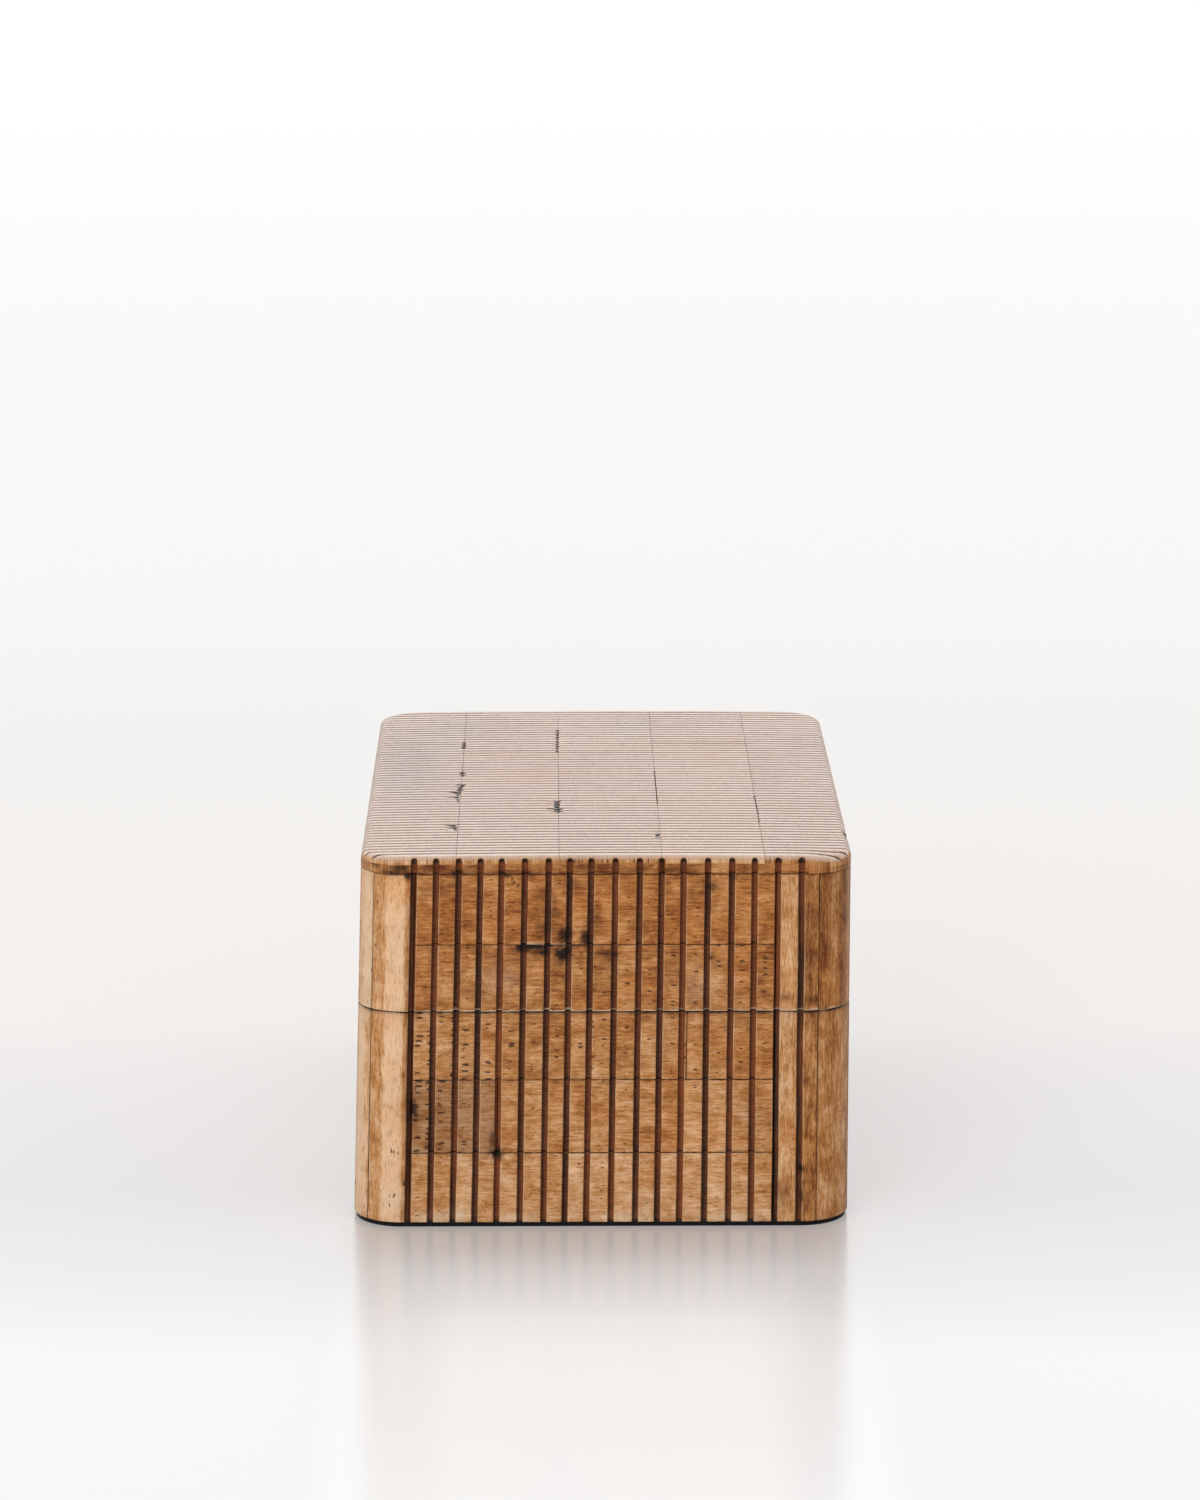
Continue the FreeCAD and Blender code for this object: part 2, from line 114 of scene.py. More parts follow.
# Offsets across a groove from its middle, with the depth there. The cross grooves on the
# top are narrower than the construction's, as in the photograph.
END_PROFILE = (
    (-1.15, 0.0), (-0.95, 0.02), (-0.84, 0.09), (-0.77, 0.26), (-0.72, 0.6), (-0.68, 1.1), (-0.6, 1.42),
    (-0.35, 1.5), (0.0, 1.52), (0.35, 1.5), (0.6, 1.42), (0.68, 1.1), (0.72, 0.6), (0.77, 0.26),
    (0.84, 0.09), (0.95, 0.02), (1.15, 0.0))
FINE_PROFILE = (
    (-0.7, 0.0), (-0.55, 0.03), (-0.46, 0.14), (-0.38, 0.4), (-0.15, 1.0), (0.0, 1.12),
    (0.15, 1.0), (0.38, 0.4), (0.46, 0.14), (0.55, 0.03), (0.7, 0.0))
TOP_PROFILE = (
    (-0.4, 0.0), (-0.36, 0.05), (-0.32, 0.25), (-0.22, 0.9), (0.0, 1.12),
    (0.22, 0.9), (0.32, 0.25), (0.36, 0.05), (0.4, 0.0))
# Steps inwards from an edge, where the mesh is closer
EDGE_STEPS = (0.0, 0.05, 0.13, 0.28)
SEAM_STEPS = (0.0, 0.05, 0.13, 0.25, 0.4, 0.58, 0.8, 1.1)
NARROWEST = 0.05
# Spacing of the mesh across and up a tile
END_MESH = (0.5, 0.8)
SIDE_MESH = (1.4, 2.0)
STRIP_MESH = (0.6, 1.5)
EDGE_ROUND = 0.16
SHARP_ANGLE = math.radians(55)
WELD = 2e-6
GRAIN_STEP = 3.7
SEAM_GAP = 0.15


# Shape of the box at a height

def half_width(z):
    return BOX_WIDTH / 2 + BATTER * (0.5 - z / BOX_HEIGHT)


def half_length(z):
    return BOX_LENGTH / 2 + BATTER * (0.5 - z / BOX_HEIGHT)


def radius_at(z):
    return CORNER_RADIUS + BATTER * (0.5 - z / BOX_HEIGHT)


def leaned(points, turned=False):
    """Points in their place: turned round for the back, and leaning with the whole box."""
    if turned:
        points[..., :2] *= -1
    points[..., 0] += LEAN * points[..., 2] / BOX_HEIGHT
    return points


def end_groove_places():
    """Middles of the wide grooves of an end, slightly uneven as if cut by eye."""
    last = END_COUNT - 1
    places = []
    for index in range(END_COUNT):
        bow = math.sin(math.pi * index / last)
        wander = math.cos(2 * math.pi * index / 4)
        even = END_SHIFT + (index - last / 2) * END_PITCH
        places.append(even - HAND_BOW * bow - HAND_WANDER * wander * bow)
    return places


END_GROOVES = end_groove_places()
FINE_GROOVES = [(index - (FINE_COUNT - 1) / 2) * FINE_PITCH for index in range(FINE_COUNT)]
SIDE_GROOVES = FINE_GROOVES[2:-2]


# Seeded value noise on numpy arrays

def lattice(ix, iy, seed):
    h = (ix * 374761393 + iy * 668265263 + seed * 1274126177) & 0xFFFFFFFF
    h = ((h ^ (h >> 13)) * 1103515245) & 0xFFFFFFFF
    h = ((h ^ (h >> 15)) * 2246822519) & 0xFFFFFFFF
    return ((h ^ (h >> 16)) & 0xFFFFFF) / float(0xFFFFFF)


def noise(x, y, seed):
    """Smooth noise from 0 to 1 with a cell of one unit."""
    x, y = np.broadcast_arrays(np.asarray(x, float), np.asarray(y, float))
    ix = np.floor(x).astype(np.int64)
    iy = np.floor(y).astype(np.int64)
    fx = x - ix
    fy = y - iy
    fx = fx * fx * (3 - 2 * fx)
    fy = fy * fy * (3 - 2 * fy)
    low = lattice(ix, iy, seed) * (1 - fx) + lattice(ix + 1, iy, seed) * fx
    high = lattice(ix, iy + 1, seed) * (1 - fx) + lattice(ix + 1, iy + 1, seed) * fx
    return low * (1 - fy) + high * fy


def sway(x, y, seed):
    """The same noise, from -0.5 to 0.5."""
    return noise(x, y, seed) - 0.5


def unit(x):
    return np.clip(x, 0, 1)


def picks(index, row, seed):
    """A random number from 0 to 1 for each whole number in an array."""
    return lattice(index.astype(np.int64), np.int64(row), seed)


def rand(index, seed):
    return float(lattice(np.int64(index), np.int64(7), seed))


# Profiles and spacing

def groove_depth(u, grooves, profile):
    """Depth of the grooves at places along a face."""
    offsets = [point[0] for point in profile]
    depths = [point[1] for point in profile]
    result = np.zeros_like(np.asarray(u, float))
    for place in grooves:
        result = np.maximum(result, np.interp(u - place, offsets, depths, 0.0, 0.0))
    return result


def stations(low, high, grooves, profile, spacing, low_steps=EDGE_STEPS, high_steps=EDGE_STEPS):
    """Places along a face: edge steps, groove profile points and evenly spaced ones between."""
    fixed = [low + step for step in low_steps] + [high - step for step in high_steps]
    inner_low = low + max(low_steps)
    inner_high = high - max(high_steps)
    fixed += [place + point[0] for place in grooves for point in profile
              if inner_low + NARROWEST < place + point[0] < inner_high - NARROWEST]
    fixed = sorted(fixed)
    result = []
    for start, end in zip(fixed[:-1], fixed[1:]):
        count = max(int(round((end - start) / spacing)), 1)
        for step in range(count):
            result.append(start + (end - start) * step / count)
    result.append(fixed[-1])
    return np.array(result)


def rounding(distance, radius):
    """How far a rounded edge drops at a distance inside the edge."""
    d = np.clip(distance, 0, radius)
    return radius - np.sqrt(np.maximum(radius ** 2 - (radius - d) ** 2, 0))


def grid(u, z):
    """A grid of places and levels, and how far each is from the grid's edges."""
    uu, zz = np.meshgrid(u, z)
    return uu, zz, np.minimum(uu - u[0], u[-1] - uu), np.minimum(zz - z[0], z[-1] - zz)


def grained(along, across, seed):
    """Places in a piece's grain: along it, across it, and a number of the piece's own."""
    return np.stack([along, across, np.full_like(across, seed * GRAIN_STEP)], -1)


# Mesh collector: closed tiles with named vertex values

FIELDS = ("light", "amber", "grey", "groove", "deep", "edge", "wear_and_highlight", "burn_and_seam_shade", "pits", "raw")


def flattened(values, count):
    """Vertex values as one row per point."""
    result = {}
    for name in FIELDS:
        value = np.asarray(values.get(name, 0.0), float)
        result[name] = value.reshape(count) if value.size > 1 else np.full(count, float(value))
    result["grain"] = np.asarray(values["grain"], float).reshape(count, 3)
    return result


class Shell:
    def __init__(self):
        self.points = []
        self.faces = []
        self.values = {name: [] for name in FIELDS + ("grain",)}
        self.count = 0

    def add_points(self, points, values):
        points = np.asarray(points, float).reshape(-1, 3)
        number = len(points)
        self.points.append(points)
        for name, value in flattened(values, number).items():
            self.values[name].append(value)
        first = self.count
        self.count += number
        return np.arange(first, first + number)

    def add_quads(self, ids):
        a = ids[:-1, :-1].ravel()
        b = ids[:-1, 1:].ravel()
        c = ids[1:, 1:].ravel()
        d = ids[1:, :-1].ravel()
        self.faces += [tuple(face) for face in np.stack([a, b, c, d], 1).tolist()]

    def add_tile(self, outer, back, values):
        """A closed tile: an outer grid of points, and the places behind its rim."""
        rows, cols = outer.shape[:2]
        flat = flattened(values, rows * cols)
        ids = self.add_points(outer, flat).reshape(rows, cols)
        self.add_quads(ids)
        loop = [(0, j) for j in range(cols)]
        loop += [(i, cols - 1) for i in range(1, rows)]
        loop += [(rows - 1, j) for j in range(cols - 2, -1, -1)]
        loop += [(i, 0) for i in range(rows - 2, 0, -1)]
        order = np.array([i * cols + j for i, j in loop])
        rim_values = {name: value[order] for name, value in flat.items()}
        rim_values["raw"] = 1.0
        rim = self.add_points(back.reshape(-1, 3)[order], rim_values)
        rim_of = {place: int(index) for place, index in zip(loop, rim)}
        outer_loop = ids.ravel()[order]
        size = len(loop)
        for k in range(size):
            after = (k + 1) % size
            self.faces.append((int(outer_loop[k]), int(outer_loop[after]), int(rim[after]), int(rim[k])))
        last = rows - 1
        for j in range(1, cols - 2):
            self.faces.append((rim_of[0, j], rim_of[0, j + 1], rim_of[last, j + 1], rim_of[last, j]))
        for side, inner in ((0, 1), (cols - 1, cols - 2)):
            for i in range(last):
                self.faces.append((rim_of[0, inner], rim_of[i, side], rim_of[i + 1, side]))
            self.faces.append((rim_of[0, inner], rim_of[last, side], rim_of[last, inner]))

    def mesh(self, name):
        mesh = bpy.data.meshes.new(name)
        mesh.from_pydata((np.concatenate(self.points) * MM).tolist(), [], self.faces)
        for field in FIELDS:
            layer = mesh.attributes.new(field, "FLOAT", "POINT")
            layer.data.foreach_set("value", np.concatenate(self.values[field]).astype(np.float32))
        layer = mesh.attributes.new("grain", "FLOAT_VECTOR", "POINT")
        layer.data.foreach_set("vector", np.concatenate(self.values["grain"]).astype(np.float32).ravel())
        return mesh

    def place(self, node, material):
        mesh = self.mesh(node)
        work = bmesh.new()
        work.from_mesh(mesh)
        bmesh.ops.recalc_face_normals(work, faces=work.faces)
        work.to_mesh(mesh)
        work.free()
        return place_bone(mesh, node, material)


def linked(name, data):
    piece = bpy.data.objects.new(name, data)
    bpy.context.scene.collection.objects.link(piece)
    return piece


def place_bone(mesh, node, material):
    """Put a bone mesh into the scene in place of a node of the construction."""
    mesh.shade_smooth()
    mesh.set_sharp_from_angle(angle=SHARP_ANGLE)
    piece = linked(node.rsplit("_", 1)[0] + "_bone", mesh)
    mesh.materials.append(material)
    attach(piece, node.split("_")[0])
    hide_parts(node)
    return piece


# Stains and wear of both ends: middle, reach and strength of each patch, and from, to,
# half width and strength of each stroke.

BURN_PATCHES = (
    (-11, 72.6, 2.2, 1.9, 1.3), (-10.4, 77.4, 2.2, 2.6, 1), (-5.2, 77, 1.7, 2, 1.1),
    (-16.2, 72.9, 2.8, 1.5, 0.95), (0.5, 72.3, 2.2, 1.4, 0.7), (-21.3, 73.6, 2.8, 1, 0.9),
    (-15.5, 79.6, 2.8, 2.4, 0.6), (-14.2, 83.5, 3.4, 2.2, 0.55), (-16, 88, 2.6, 3, 0.45),
    (-8, 90.5, 6, 1.6, 0.35), (-3, 81, 2, 2.6, 0.4), (-40, 90.5, 5, 1.4, 0.35),
    (-27.2, 19.4, 1.8, 1.3, 1.1), (-28.2, 24, 0.8, 3, 0.8), (-48.6, 31.5, 1.3, 2.8, 0.95),
    (-51.1, 92.8, 1, 0.8, 1.2), (-38.2, 93.8, 2, 0.9, 1), (32.6, 92.6, 1, 0.7, 1),
    (-26, 93.4, 1.6, 0.8, 0.9), (-58.5, 95.4, 1.5, 1.2, 0.7), (-54.5, 93.9, 3.8, 0.8, 0.8),
    (50.7, 15.1, 1, 1.2, 1), (51, 8, 0.8, 2.4, 0.7), (31.1, 52.6, 0.6, 0.7, 0.9),
    (-20, 93.6, 2.4, 0.7, 0.7), (8, 94.6, 3.6, 0.5, 0.6), (-5, 95.2, 4.5, 0.5, 0.45),
    (27, 90, 1.8, 1, 0.8), (27, 85, 2.2, 2, 0.4), (22, 87, 1.4, 0.8, 0.5),
    (46, 9, 2.4, 3.4, 0.5), (53.5, 60, 3, 1.4, 0.55), (-52.5, 95.2, 3.6, 1.4, 0.8),
    (-59.5, 95.6, 2.5, 1.2, 0.6), (-45.5, 95, 5, 0.8, 0.5),
    (60.5, 94.3, 2.5, 0.5, 0.6), (-33, 94.6, 3, 0.9, 0.4), (18, 94.6, 3, 0.6, 0.5),
    (2.6, 72.4, 0.9, 0.6, 0.9), (27.2, 71.5, 0.5, 0.5, 1), (46.4, 61, 1.8, 1.2, 0.6),
    (-47, 89, 1.6, 2.6, 0.3), (-32, 86, 1.6, 4, 0.25), (7, 80, 1.5, 3, 0.3))
AMBER_PATCHES = (
    (-3, 84, 13, 8, 0.9), (-16, 88, 8, 4, 0.6), (14, 86, 12, 5, 0.5),
    (-44, 83, 5, 6, 0.5), (30, 80, 6, 4, 0.4), (-20, 30, 4, 5, 0.35),
    (-4, 27, 9, 5, 0.4), (8, 6, 14, 2.5, 0.5), (46, 10, 2, 5, 0.8),
    (-57, 60, 1.2, 40, 0.5), (-31, 6, 3, 3, 0.4), (-8, 62, 10, 3, 0.35),
    (-54, 90, 6, 6, 1), (-12, 84, 7, 9, 1), (2, 82, 5, 8, 0.9),
    (30, 88, 8, 4, 0.8), (-52, 30, 3, 8, 0.35), (28, 10, 8, 4, 0.5))
GREY_PATCHES = (
    (-40.5, 33, 9, 7.5, 0.9), (-33, 24, 4, 5, 0.5), (-50.4, 45, 0.7, 50, 0.7),
    (15.5, 48, 1.8, 7, 0.4), (24.7, 53.1, 0.8, 1.2, 0.8), (38.5, 30, 3.5, 9, 0.55),
    (52, 76, 2, 15, 0.9), (57.5, 75, 2.5, 22, 0.4), (-58, 95.6, 2.2, 1.6, 0.7))
PALE_PATCHES = (
    (-37, 3.2, 3.5, 1.6, 1), (-44, 2.6, 4, 1.3, 0.9), (-22, 2.4, 5, 1.1, 0.8),
    (6, 2.4, 8, 1, 0.8), (33, 2.5, 8, 1.3, 0.75), (11.5, 4.5, 1.5, 2.4, 0.6),
    (-53, 8, 3, 4, 0.4),
    (-27, 66, 5, 4, 0.25), (25, 64, 5, 4, 0.2))
BURN_STROKES = (
    (-22.6, 74.7, -14.4, 74.6, 0.2, 1.2), (-14.4, 74.7, -3, 74.7, 0.1, 1),
    (-25, 92.8, -22.2, 90, 0.16, 0.9),
    (-24.8, 91.7, -23.2, 90.3, 0.10, 0.5), (-49, 19.8, 44, 19.8, 0.13, 0.8),
    (-49, 39.2, 10, 39.2, 0.09, 0.5), (10, 39.2, 44, 39.2, 0.13, 0.7),
    (-49, 74.9, 44, 74.9, 0.09, 0.55), (-56, 93.5, 52, 93.5, 0.14, 0.5),
    (43.75, 2, 43.75, 57, 0.2, 1), (43.6, 60, 43.6, 93, 0.08, 0.6),
    (-49.5, 2, -49.3, 93, 0.12, 0.4), (-59.3, 93.5, -49.5, 93.6, 0.2, 0.9),
    (53, 93.4, 57, 94.2, 0.24, 1), (-58.8, 86, -58.5, 85.2, 0.2, 1.2),
    (-58.9, 75, -58.7, 73.6, 0.16, 1.2), (57.3, 85.5, 57, 84, 0.12, 1))
BORDER_PITS = ((-53, 13, 3, 9, 1), (53, 20, 3, 9, 0.4))
PALE_STROKES = (
    (-21, 75.15, -9, 75.05, 0.1, 0.8), (-59, 94.2, -56.9, 96.9, 0.14, 0.7),
    (43.3, 24, 43.3, 40, 0.10, 0.4), (-12, 19.5, 4, 19.5, 0.08, 0.4),
    (31, 53.5, 31.8, 52, 0.14, 0.6), (24.6, 54.4, 24.8, 52.2, 0.16, 0.5))


def patches(places, u, z, seed):
    result = np.zeros(np.broadcast(u, z).shape)
    ragged = 0.45 + 0.75 * noise(u * 0.8, z * 0.8, seed) + 0.5 * noise(u * 2.1, z * 2.9, seed + 1)
    for x, level, reach_x, reach_z, strength in places:
        far = ((u - x) / (reach_x * ragged)) ** 2 + ((z - level) / (reach_z * ragged)) ** 2
        result = np.maximum(result, strength * np.exp(-far))
    return result


def strokes(places, u, z, seed):
    result = np.zeros(np.broadcast(u, z).shape)
    ragged = 0.4 + 1.2 * noise(u * 1.3, z * 1.3, seed)
    for x0, z0, x1, z1, width, strength in places:
        run_x, run_z = x1 - x0, z1 - z0
        along = unit(((u - x0) * run_x + (z - z0) * run_z) / (run_x ** 2 + run_z ** 2))
        far = np.hypot(u - x0 - along * run_x, z - z0 - along * run_z)
        result = np.maximum(result, strength * unit(1.6 - far / (width * ragged)))
    return result


def burnt(u, z):
    return np.maximum(patches(BURN_PATCHES, u, z, 91), strokes(BURN_STROKES, u, z, 94))


# Wall tiles

BODIES = ("base", "lid")
# First seed of each kind of piece
END_SEED = 100
SIDE_SEED = 600
STRIP_SEED = 900
SLAB_SEED = 1200


def chips(u, seed):
    """Small losses along an edge, from 0 to 1."""
    coarse = noise(u * 0.55, seed * 3.1, seed)
    fine = noise(u * 1.7, seed * 1.7, seed + 5)
    return unit((coarse - 0.5) * 2.2) * (0.4 + 0.6 * fine)


def end_surface(u, z, depth, turned):
    """A place on an end: plan place at mid height, level, and depth along the normal."""
    radius = radius_at(z)
    x = u * half_width(z) / (BOX_WIDTH / 2)
    over = x - np.clip(x, -CORNER_X, CORNER_X)
    sine = np.clip(over / radius, -1, 1)
    cosine = np.sqrt(1 - sine ** 2)
    x = x - depth * sine
    y = -(CORNER_Y + (radius - depth) * cosine)
    return leaned(np.stack([x, y, z], -1), turned)


def end_back(u, z, turned):
    x = u * half_width(z) / (BOX_WIDTH / 2)
    y = np.full_like(x, -(CORE_Y + BACK_GAP))
    return leaned(np.stack([x, y, z], -1), turned)


def level_stations(low, high, spacing):
    """Levels of a wall tile, close together at the saw cut, where its edge is chipped."""
    low_steps = SEAM_STEPS if abs(low - SPLIT) < 0.4 else EDGE_STEPS
    high_steps = SEAM_STEPS if abs(high - SPLIT) < 0.4 else EDGE_STEPS
    return stations(low, high, (), (), spacing, low_steps, high_steps)


def seam_terms(u, z):
    """Extra depth, pale chips, and a dark band on the base's top edge, partly a stain and partly painted
    shade of the seam, where a tile meets the saw cut.
    """
    depth, wear_and_highlight, burn_and_seam_shade = np.zeros((3,) + z.shape)
    for level, side in ((z[0, 0], 1), (z[-1, 0], -1)):
        if abs(level - SPLIT) > 0.3:
            continue
        away = side * (z - level)
        loss = chips(u, 7 if side > 0 else 9)
        depth += 0.30 * loss * unit(1 - away / 0.7) ** 2
        width = 0.2 + 0.85 * loss + 0.7 * noise(u * 2.2, 5.5, 31) * noise(u * 0.35, 6.5, 39)
        share = np.interp(u, (-62, -50, -36, -8, 6, 30, 62), (0.3, 0.45, 1.0, 1.0, 0.6, 0.8, 0.9))
        line = unit(2.0 * (1 - away / width)) * share * (0.5 + 0.75 * noise(u * 0.5, 3.3, 33))
        if side > 0:
            wear_and_highlight = np.maximum(wear_and_highlight, line)
        else:
            # Painted shade: the darkest part right at the seam stands in for the shade in the gap; the
            # broader tail is a stain.
            stain_and_seam_shade = np.exp(-away / 0.35) + 0.45 * np.exp(-away / 1.3)
            burn_and_seam_shade = np.maximum(burn_and_seam_shade, stain_and_seam_shade * (0.3 + 0.6 * noise(u * 0.5, 4.4, 35)))
            wear_and_highlight = np.maximum(wear_and_highlight, 0.4 * line * (noise(u * 0.9, 1.1, 37) > 0.62))
    return depth, wear_and_highlight, burn_and_seam_shade


def border_light(u):
    """The upright strips beside the field: bands of pale and darker grain."""
    places = (-60.0, -56.9, -56.2, -51.9, -51.2, -49.0, 43.0, 47.0, 50.6, 51.6, 56.0)
    values = (0.58, 0.55, 0.96, 1.0, 0.5, 0.4, 0.5, 0.6, 0.4, 0.3, 0.3)
    return np.interp(u, places, values)


def field_pits(u, z):
    """How pitted the tiles of the field are."""
    upper = unit((z - 39) * 2) * unit((57.5 - z) * 2)
    result = upper * np.interp(u, (-50, -20, 10, 44), (1.0, 0.7, 0.45, 0.35))
    short = (u < -27) & (z > LOW_JOINT) & (z < MID_JOINT)
    result = np.where(short, np.interp(u, (-49, -42, -36, -28), (1.4, 0.9, 0.5, 0.4)), result)
    lid = (z > SPLIT) & (z < LID_JOINT)
    result = np.where(lid, 0.25 + 0.3 * unit((u + 22) / 30), result)
    return np.maximum(result, 0.25)


def end_tile(shell, low_u, high_u, low, high, seed, turned, upright):
    back = JOINT_GAP / 2
    u = stations(low_u + back, high_u - back, END_GROOVES, END_PROFILE, END_MESH[0])
    uu, zz, near_u, near_z = grid(u, level_stations(low, high, END_MESH[1]))
    real = -uu if turned else uu
    shift = 0.14 * sway(uu / 9, zz / 23, 41 + turned) + 0.06 * sway(uu / 4, zz / 5, 43)
    cut = groove_depth(uu, END_GROOVES, END_PROFILE)
    cut = cut * (1 + 0.12 * sway(uu / 5, zz / 12, 17))
    worn = EDGE_ROUND * (0.6 + 0.9 * noise(uu * 0.7, zz * 0.7, seed))
    depth = cut + rounding(near_u, worn) * 0.6 + rounding(near_z, worn)
    lift = 0.08 * (rand(seed, 3) - 0.5) + 0.05 * sway(uu / 7, zz / 9, seed)
    extra, wear_and_highlight, stain_and_seam_shade = seam_terms(uu, zz)
    depth = depth + extra + lift + FACE_DROP
    points = end_surface(uu + shift, zz, depth, turned)
    edge = np.maximum(0.55 * np.exp(-near_u / 0.22), 0.8 * np.exp(-near_z / 0.16))
    edge = edge * (0.35 + 0.65 * noise(uu * 0.25, zz * 0.25, seed + 4))
    nearest = np.argmin(np.abs(uu[..., None] - END_GROOVES), -1)
    middle = np.take(END_GROOVES, nearest)
    # Painted highlight: a pale line along each rib's rounded edge beside a groove, strongest right of the
    # groove, added into the wear value with the real pale wear.
    side = np.where(uu > middle, 1.0, 0.25)
    rib_highlight = np.exp(-((cut - 0.08) / 0.08) ** 2) * (cut > 0.004) * side
    wear_and_highlight = np.maximum(wear_and_highlight, 0.85 * rib_highlight * noise(uu * 0.3, zz * 0.2, seed + 8))
    deep = picks(nearest, 5, 73) * 0.5 + 0.6 * noise(nearest * 3.3, zz / 22, 75)
    # Painted shade: each groove is darker on its left side, standing in for its wall's shadow; the rest is
    # each groove's own darkness.
    deep = deep + 0.35 * np.clip((middle - uu) / 0.6, -0.6, 1)
    deep = deep + 0.5 * (np.abs(middle - FIELD_RIGHT) < 1) * (zz < SPLIT)
    rib = picks(np.searchsorted(END_GROOVES, uu), seed, 71)
    light = 0.5 + 0.34 * (rand(seed, 11) - 0.5) + 0.2 * (rib - 0.5)
    pits = field_pits(real, zz)
    grain = grained(uu, zz, seed)
    if upright:
        light = border_light(uu)
        pits = 0.06 + 0.9 * patches(BORDER_PITS, uu, zz, 97)
        grain = grained(zz, uu, seed)
    amber = (0.2 + 0.4 * rand(seed, 12)) * (0.5 + noise(uu / 9, zz / 6, seed))
    if low > LID_JOINT - 1:
        amber = amber + 0.5
        light = light - 0.22 * noise(uu / 6, zz / 8, 77)
    short = (real < FIELD_LEFT + SHORT_TILE) & (zz > LOW_JOINT) & (zz < MID_JOINT) & (not upright)
    flat = 1 - 0.9 * unit(cut / 0.5)
    wear_and_highlight = np.maximum(wear_and_highlight, patches(PALE_PATCHES, real, zz, 92) * flat)
    wear_and_highlight = np.maximum(wear_and_highlight, strokes(PALE_STROKES, real, zz, 93) * flat)
    values = {
        "light": unit(light),
        "amber": np.maximum(amber, patches(AMBER_PATCHES, real, zz, 95)),
        "grey": np.maximum(patches(GREY_PATCHES, real, zz, 96), 0.95 * short),
        "groove": unit(cut / END_DEPTH),
        "deep": unit(deep),
        "edge": edge,
        "wear_and_highlight": wear_and_highlight,
        "burn_and_seam_shade": np.maximum(burnt(real, zz), stain_and_seam_shade),
        "pits": pits,
        "grain": grain}
    shell.add_tile(points, end_back(uu, zz, turned), values)


def wall_reach(lid):
    """Foot and head of a body's cladding."""
    low, high = (SPLIT + SEAM_GAP, SLAB_FOOT - JOINT_GAP) if lid else (FELT_THICK, SPLIT)
    return low + PLAY, high - PLAY


def end_node(lid, turned, material):
    foot, head = wall_reach(lid)
    rows = (LID_JOINT,) if lid else (LOW_JOINT, MID_JOINT)
    lows = [foot] + [level + JOINT_GAP / 2 for level in rows]
    highs = [level - JOINT_GAP / 2 for level in rows] + [head]
    extra_joints = {} if lid else {1: FIELD_LEFT + SHORT_TILE, 2: FIELD_RIGHT - HALF_TILE}
    shell = Shell()
    seed = END_SEED + 40 * lid + 200 * turned
    end_tile(shell, STRIP_LEFT, FIELD_LEFT, foot, head, seed, turned, True)
    end_tile(shell, FIELD_RIGHT, STRIP_RIGHT, foot, head, seed + 1, turned, True)
    seed += 2
    for row, (low, high) in enumerate(zip(lows, highs)):
        joints = [FIELD_LEFT, FIELD_RIGHT]
        if row in extra_joints:
            joints.insert(1, extra_joints[row])
        for left, right in zip(joints[:-1], joints[1:]):
            seed += 1
            end_tile(shell, left, right, low, high, seed, turned, False)
    shell.place(BODIES[lid] + ("_back_tiles" if turned else "_front_tiles"), material)


def side_tile(shell, low_u, high_u, low, high, seed, side):
    back = JOINT_GAP / 2
    u = stations(low_u + back, high_u - back, SIDE_GROOVES, FINE_PROFILE, SIDE_MESH[0])
    uu, zz, near_u, near_z = grid(u, level_stations(low, high, SIDE_MESH[1]))
    cut = groove_depth(uu, SIDE_GROOVES, FINE_PROFILE)
    cut = cut * (1 + 0.25 * sway(uu / 2.9, zz / 9, 27))
    extra, wear_and_highlight, stain_and_seam_shade = seam_terms(uu, zz)
    depth = cut + rounding(near_u, EDGE_ROUND) + rounding(near_z, EDGE_ROUND) + extra
    depth = depth + 0.08 * (rand(seed, 3) - 0.5) + FACE_DROP
    shift = 0.12 * sway(uu / 6, zz / 21, 45)
    y = (uu + shift) * half_length(zz) / (BOX_LENGTH / 2)
    points = leaned(np.stack([side * (half_width(zz) - depth), y, zz], -1))
    rear = np.stack([np.full_like(uu, side * (CORE_X + BACK_GAP)), y, zz], -1)
    edge = np.exp(-np.minimum(near_u, near_z) / 0.25)
    rib = picks(np.searchsorted(SIDE_GROOVES, uu), seed, 72)
    values = {
        "light": unit(0.5 + 0.34 * (rand(seed, 11) - 0.5) + 0.2 * (rib - 0.5)),
        "amber": 0.6 * noise(uu / 14, zz / 19, seed + 1),
        "grey": 0.5 * unit(noise(uu / 11, zz / 23, seed + 2) * 2 - 1),
        "groove": unit(cut / FINE_DEPTH),
        "edge": edge,
        "wear_and_highlight": wear_and_highlight,
        "deep": 0.2 + 0.7 * noise(uu / 2.9, zz / 30, 29),
        "burn_and_seam_shade": np.maximum(stain_and_seam_shade, 0.5 * edge * noise(uu / 3, zz / 3, seed)),
        "pits": 0.35,
        "grain": grained(zz, uu, seed)}
    shell.add_tile(points, rear, values)


def side_node(lid, side, material):
    low, high = wall_reach(lid)
    joints = [-STRIP_Y, -STRIP_Y / 3, STRIP_Y / 3, STRIP_Y]
    shell = Shell()
    seed = SIDE_SEED + 40 * lid + (200 if side > 0 else 0)
    for left, right in zip(joints[:-1], joints[1:]):
        seed += 1
        side_tile(shell, left, right, low, high, seed, side)
    shell.place(BODIES[lid] + ("_right_tiles" if side > 0 else "_left_tiles"), material)


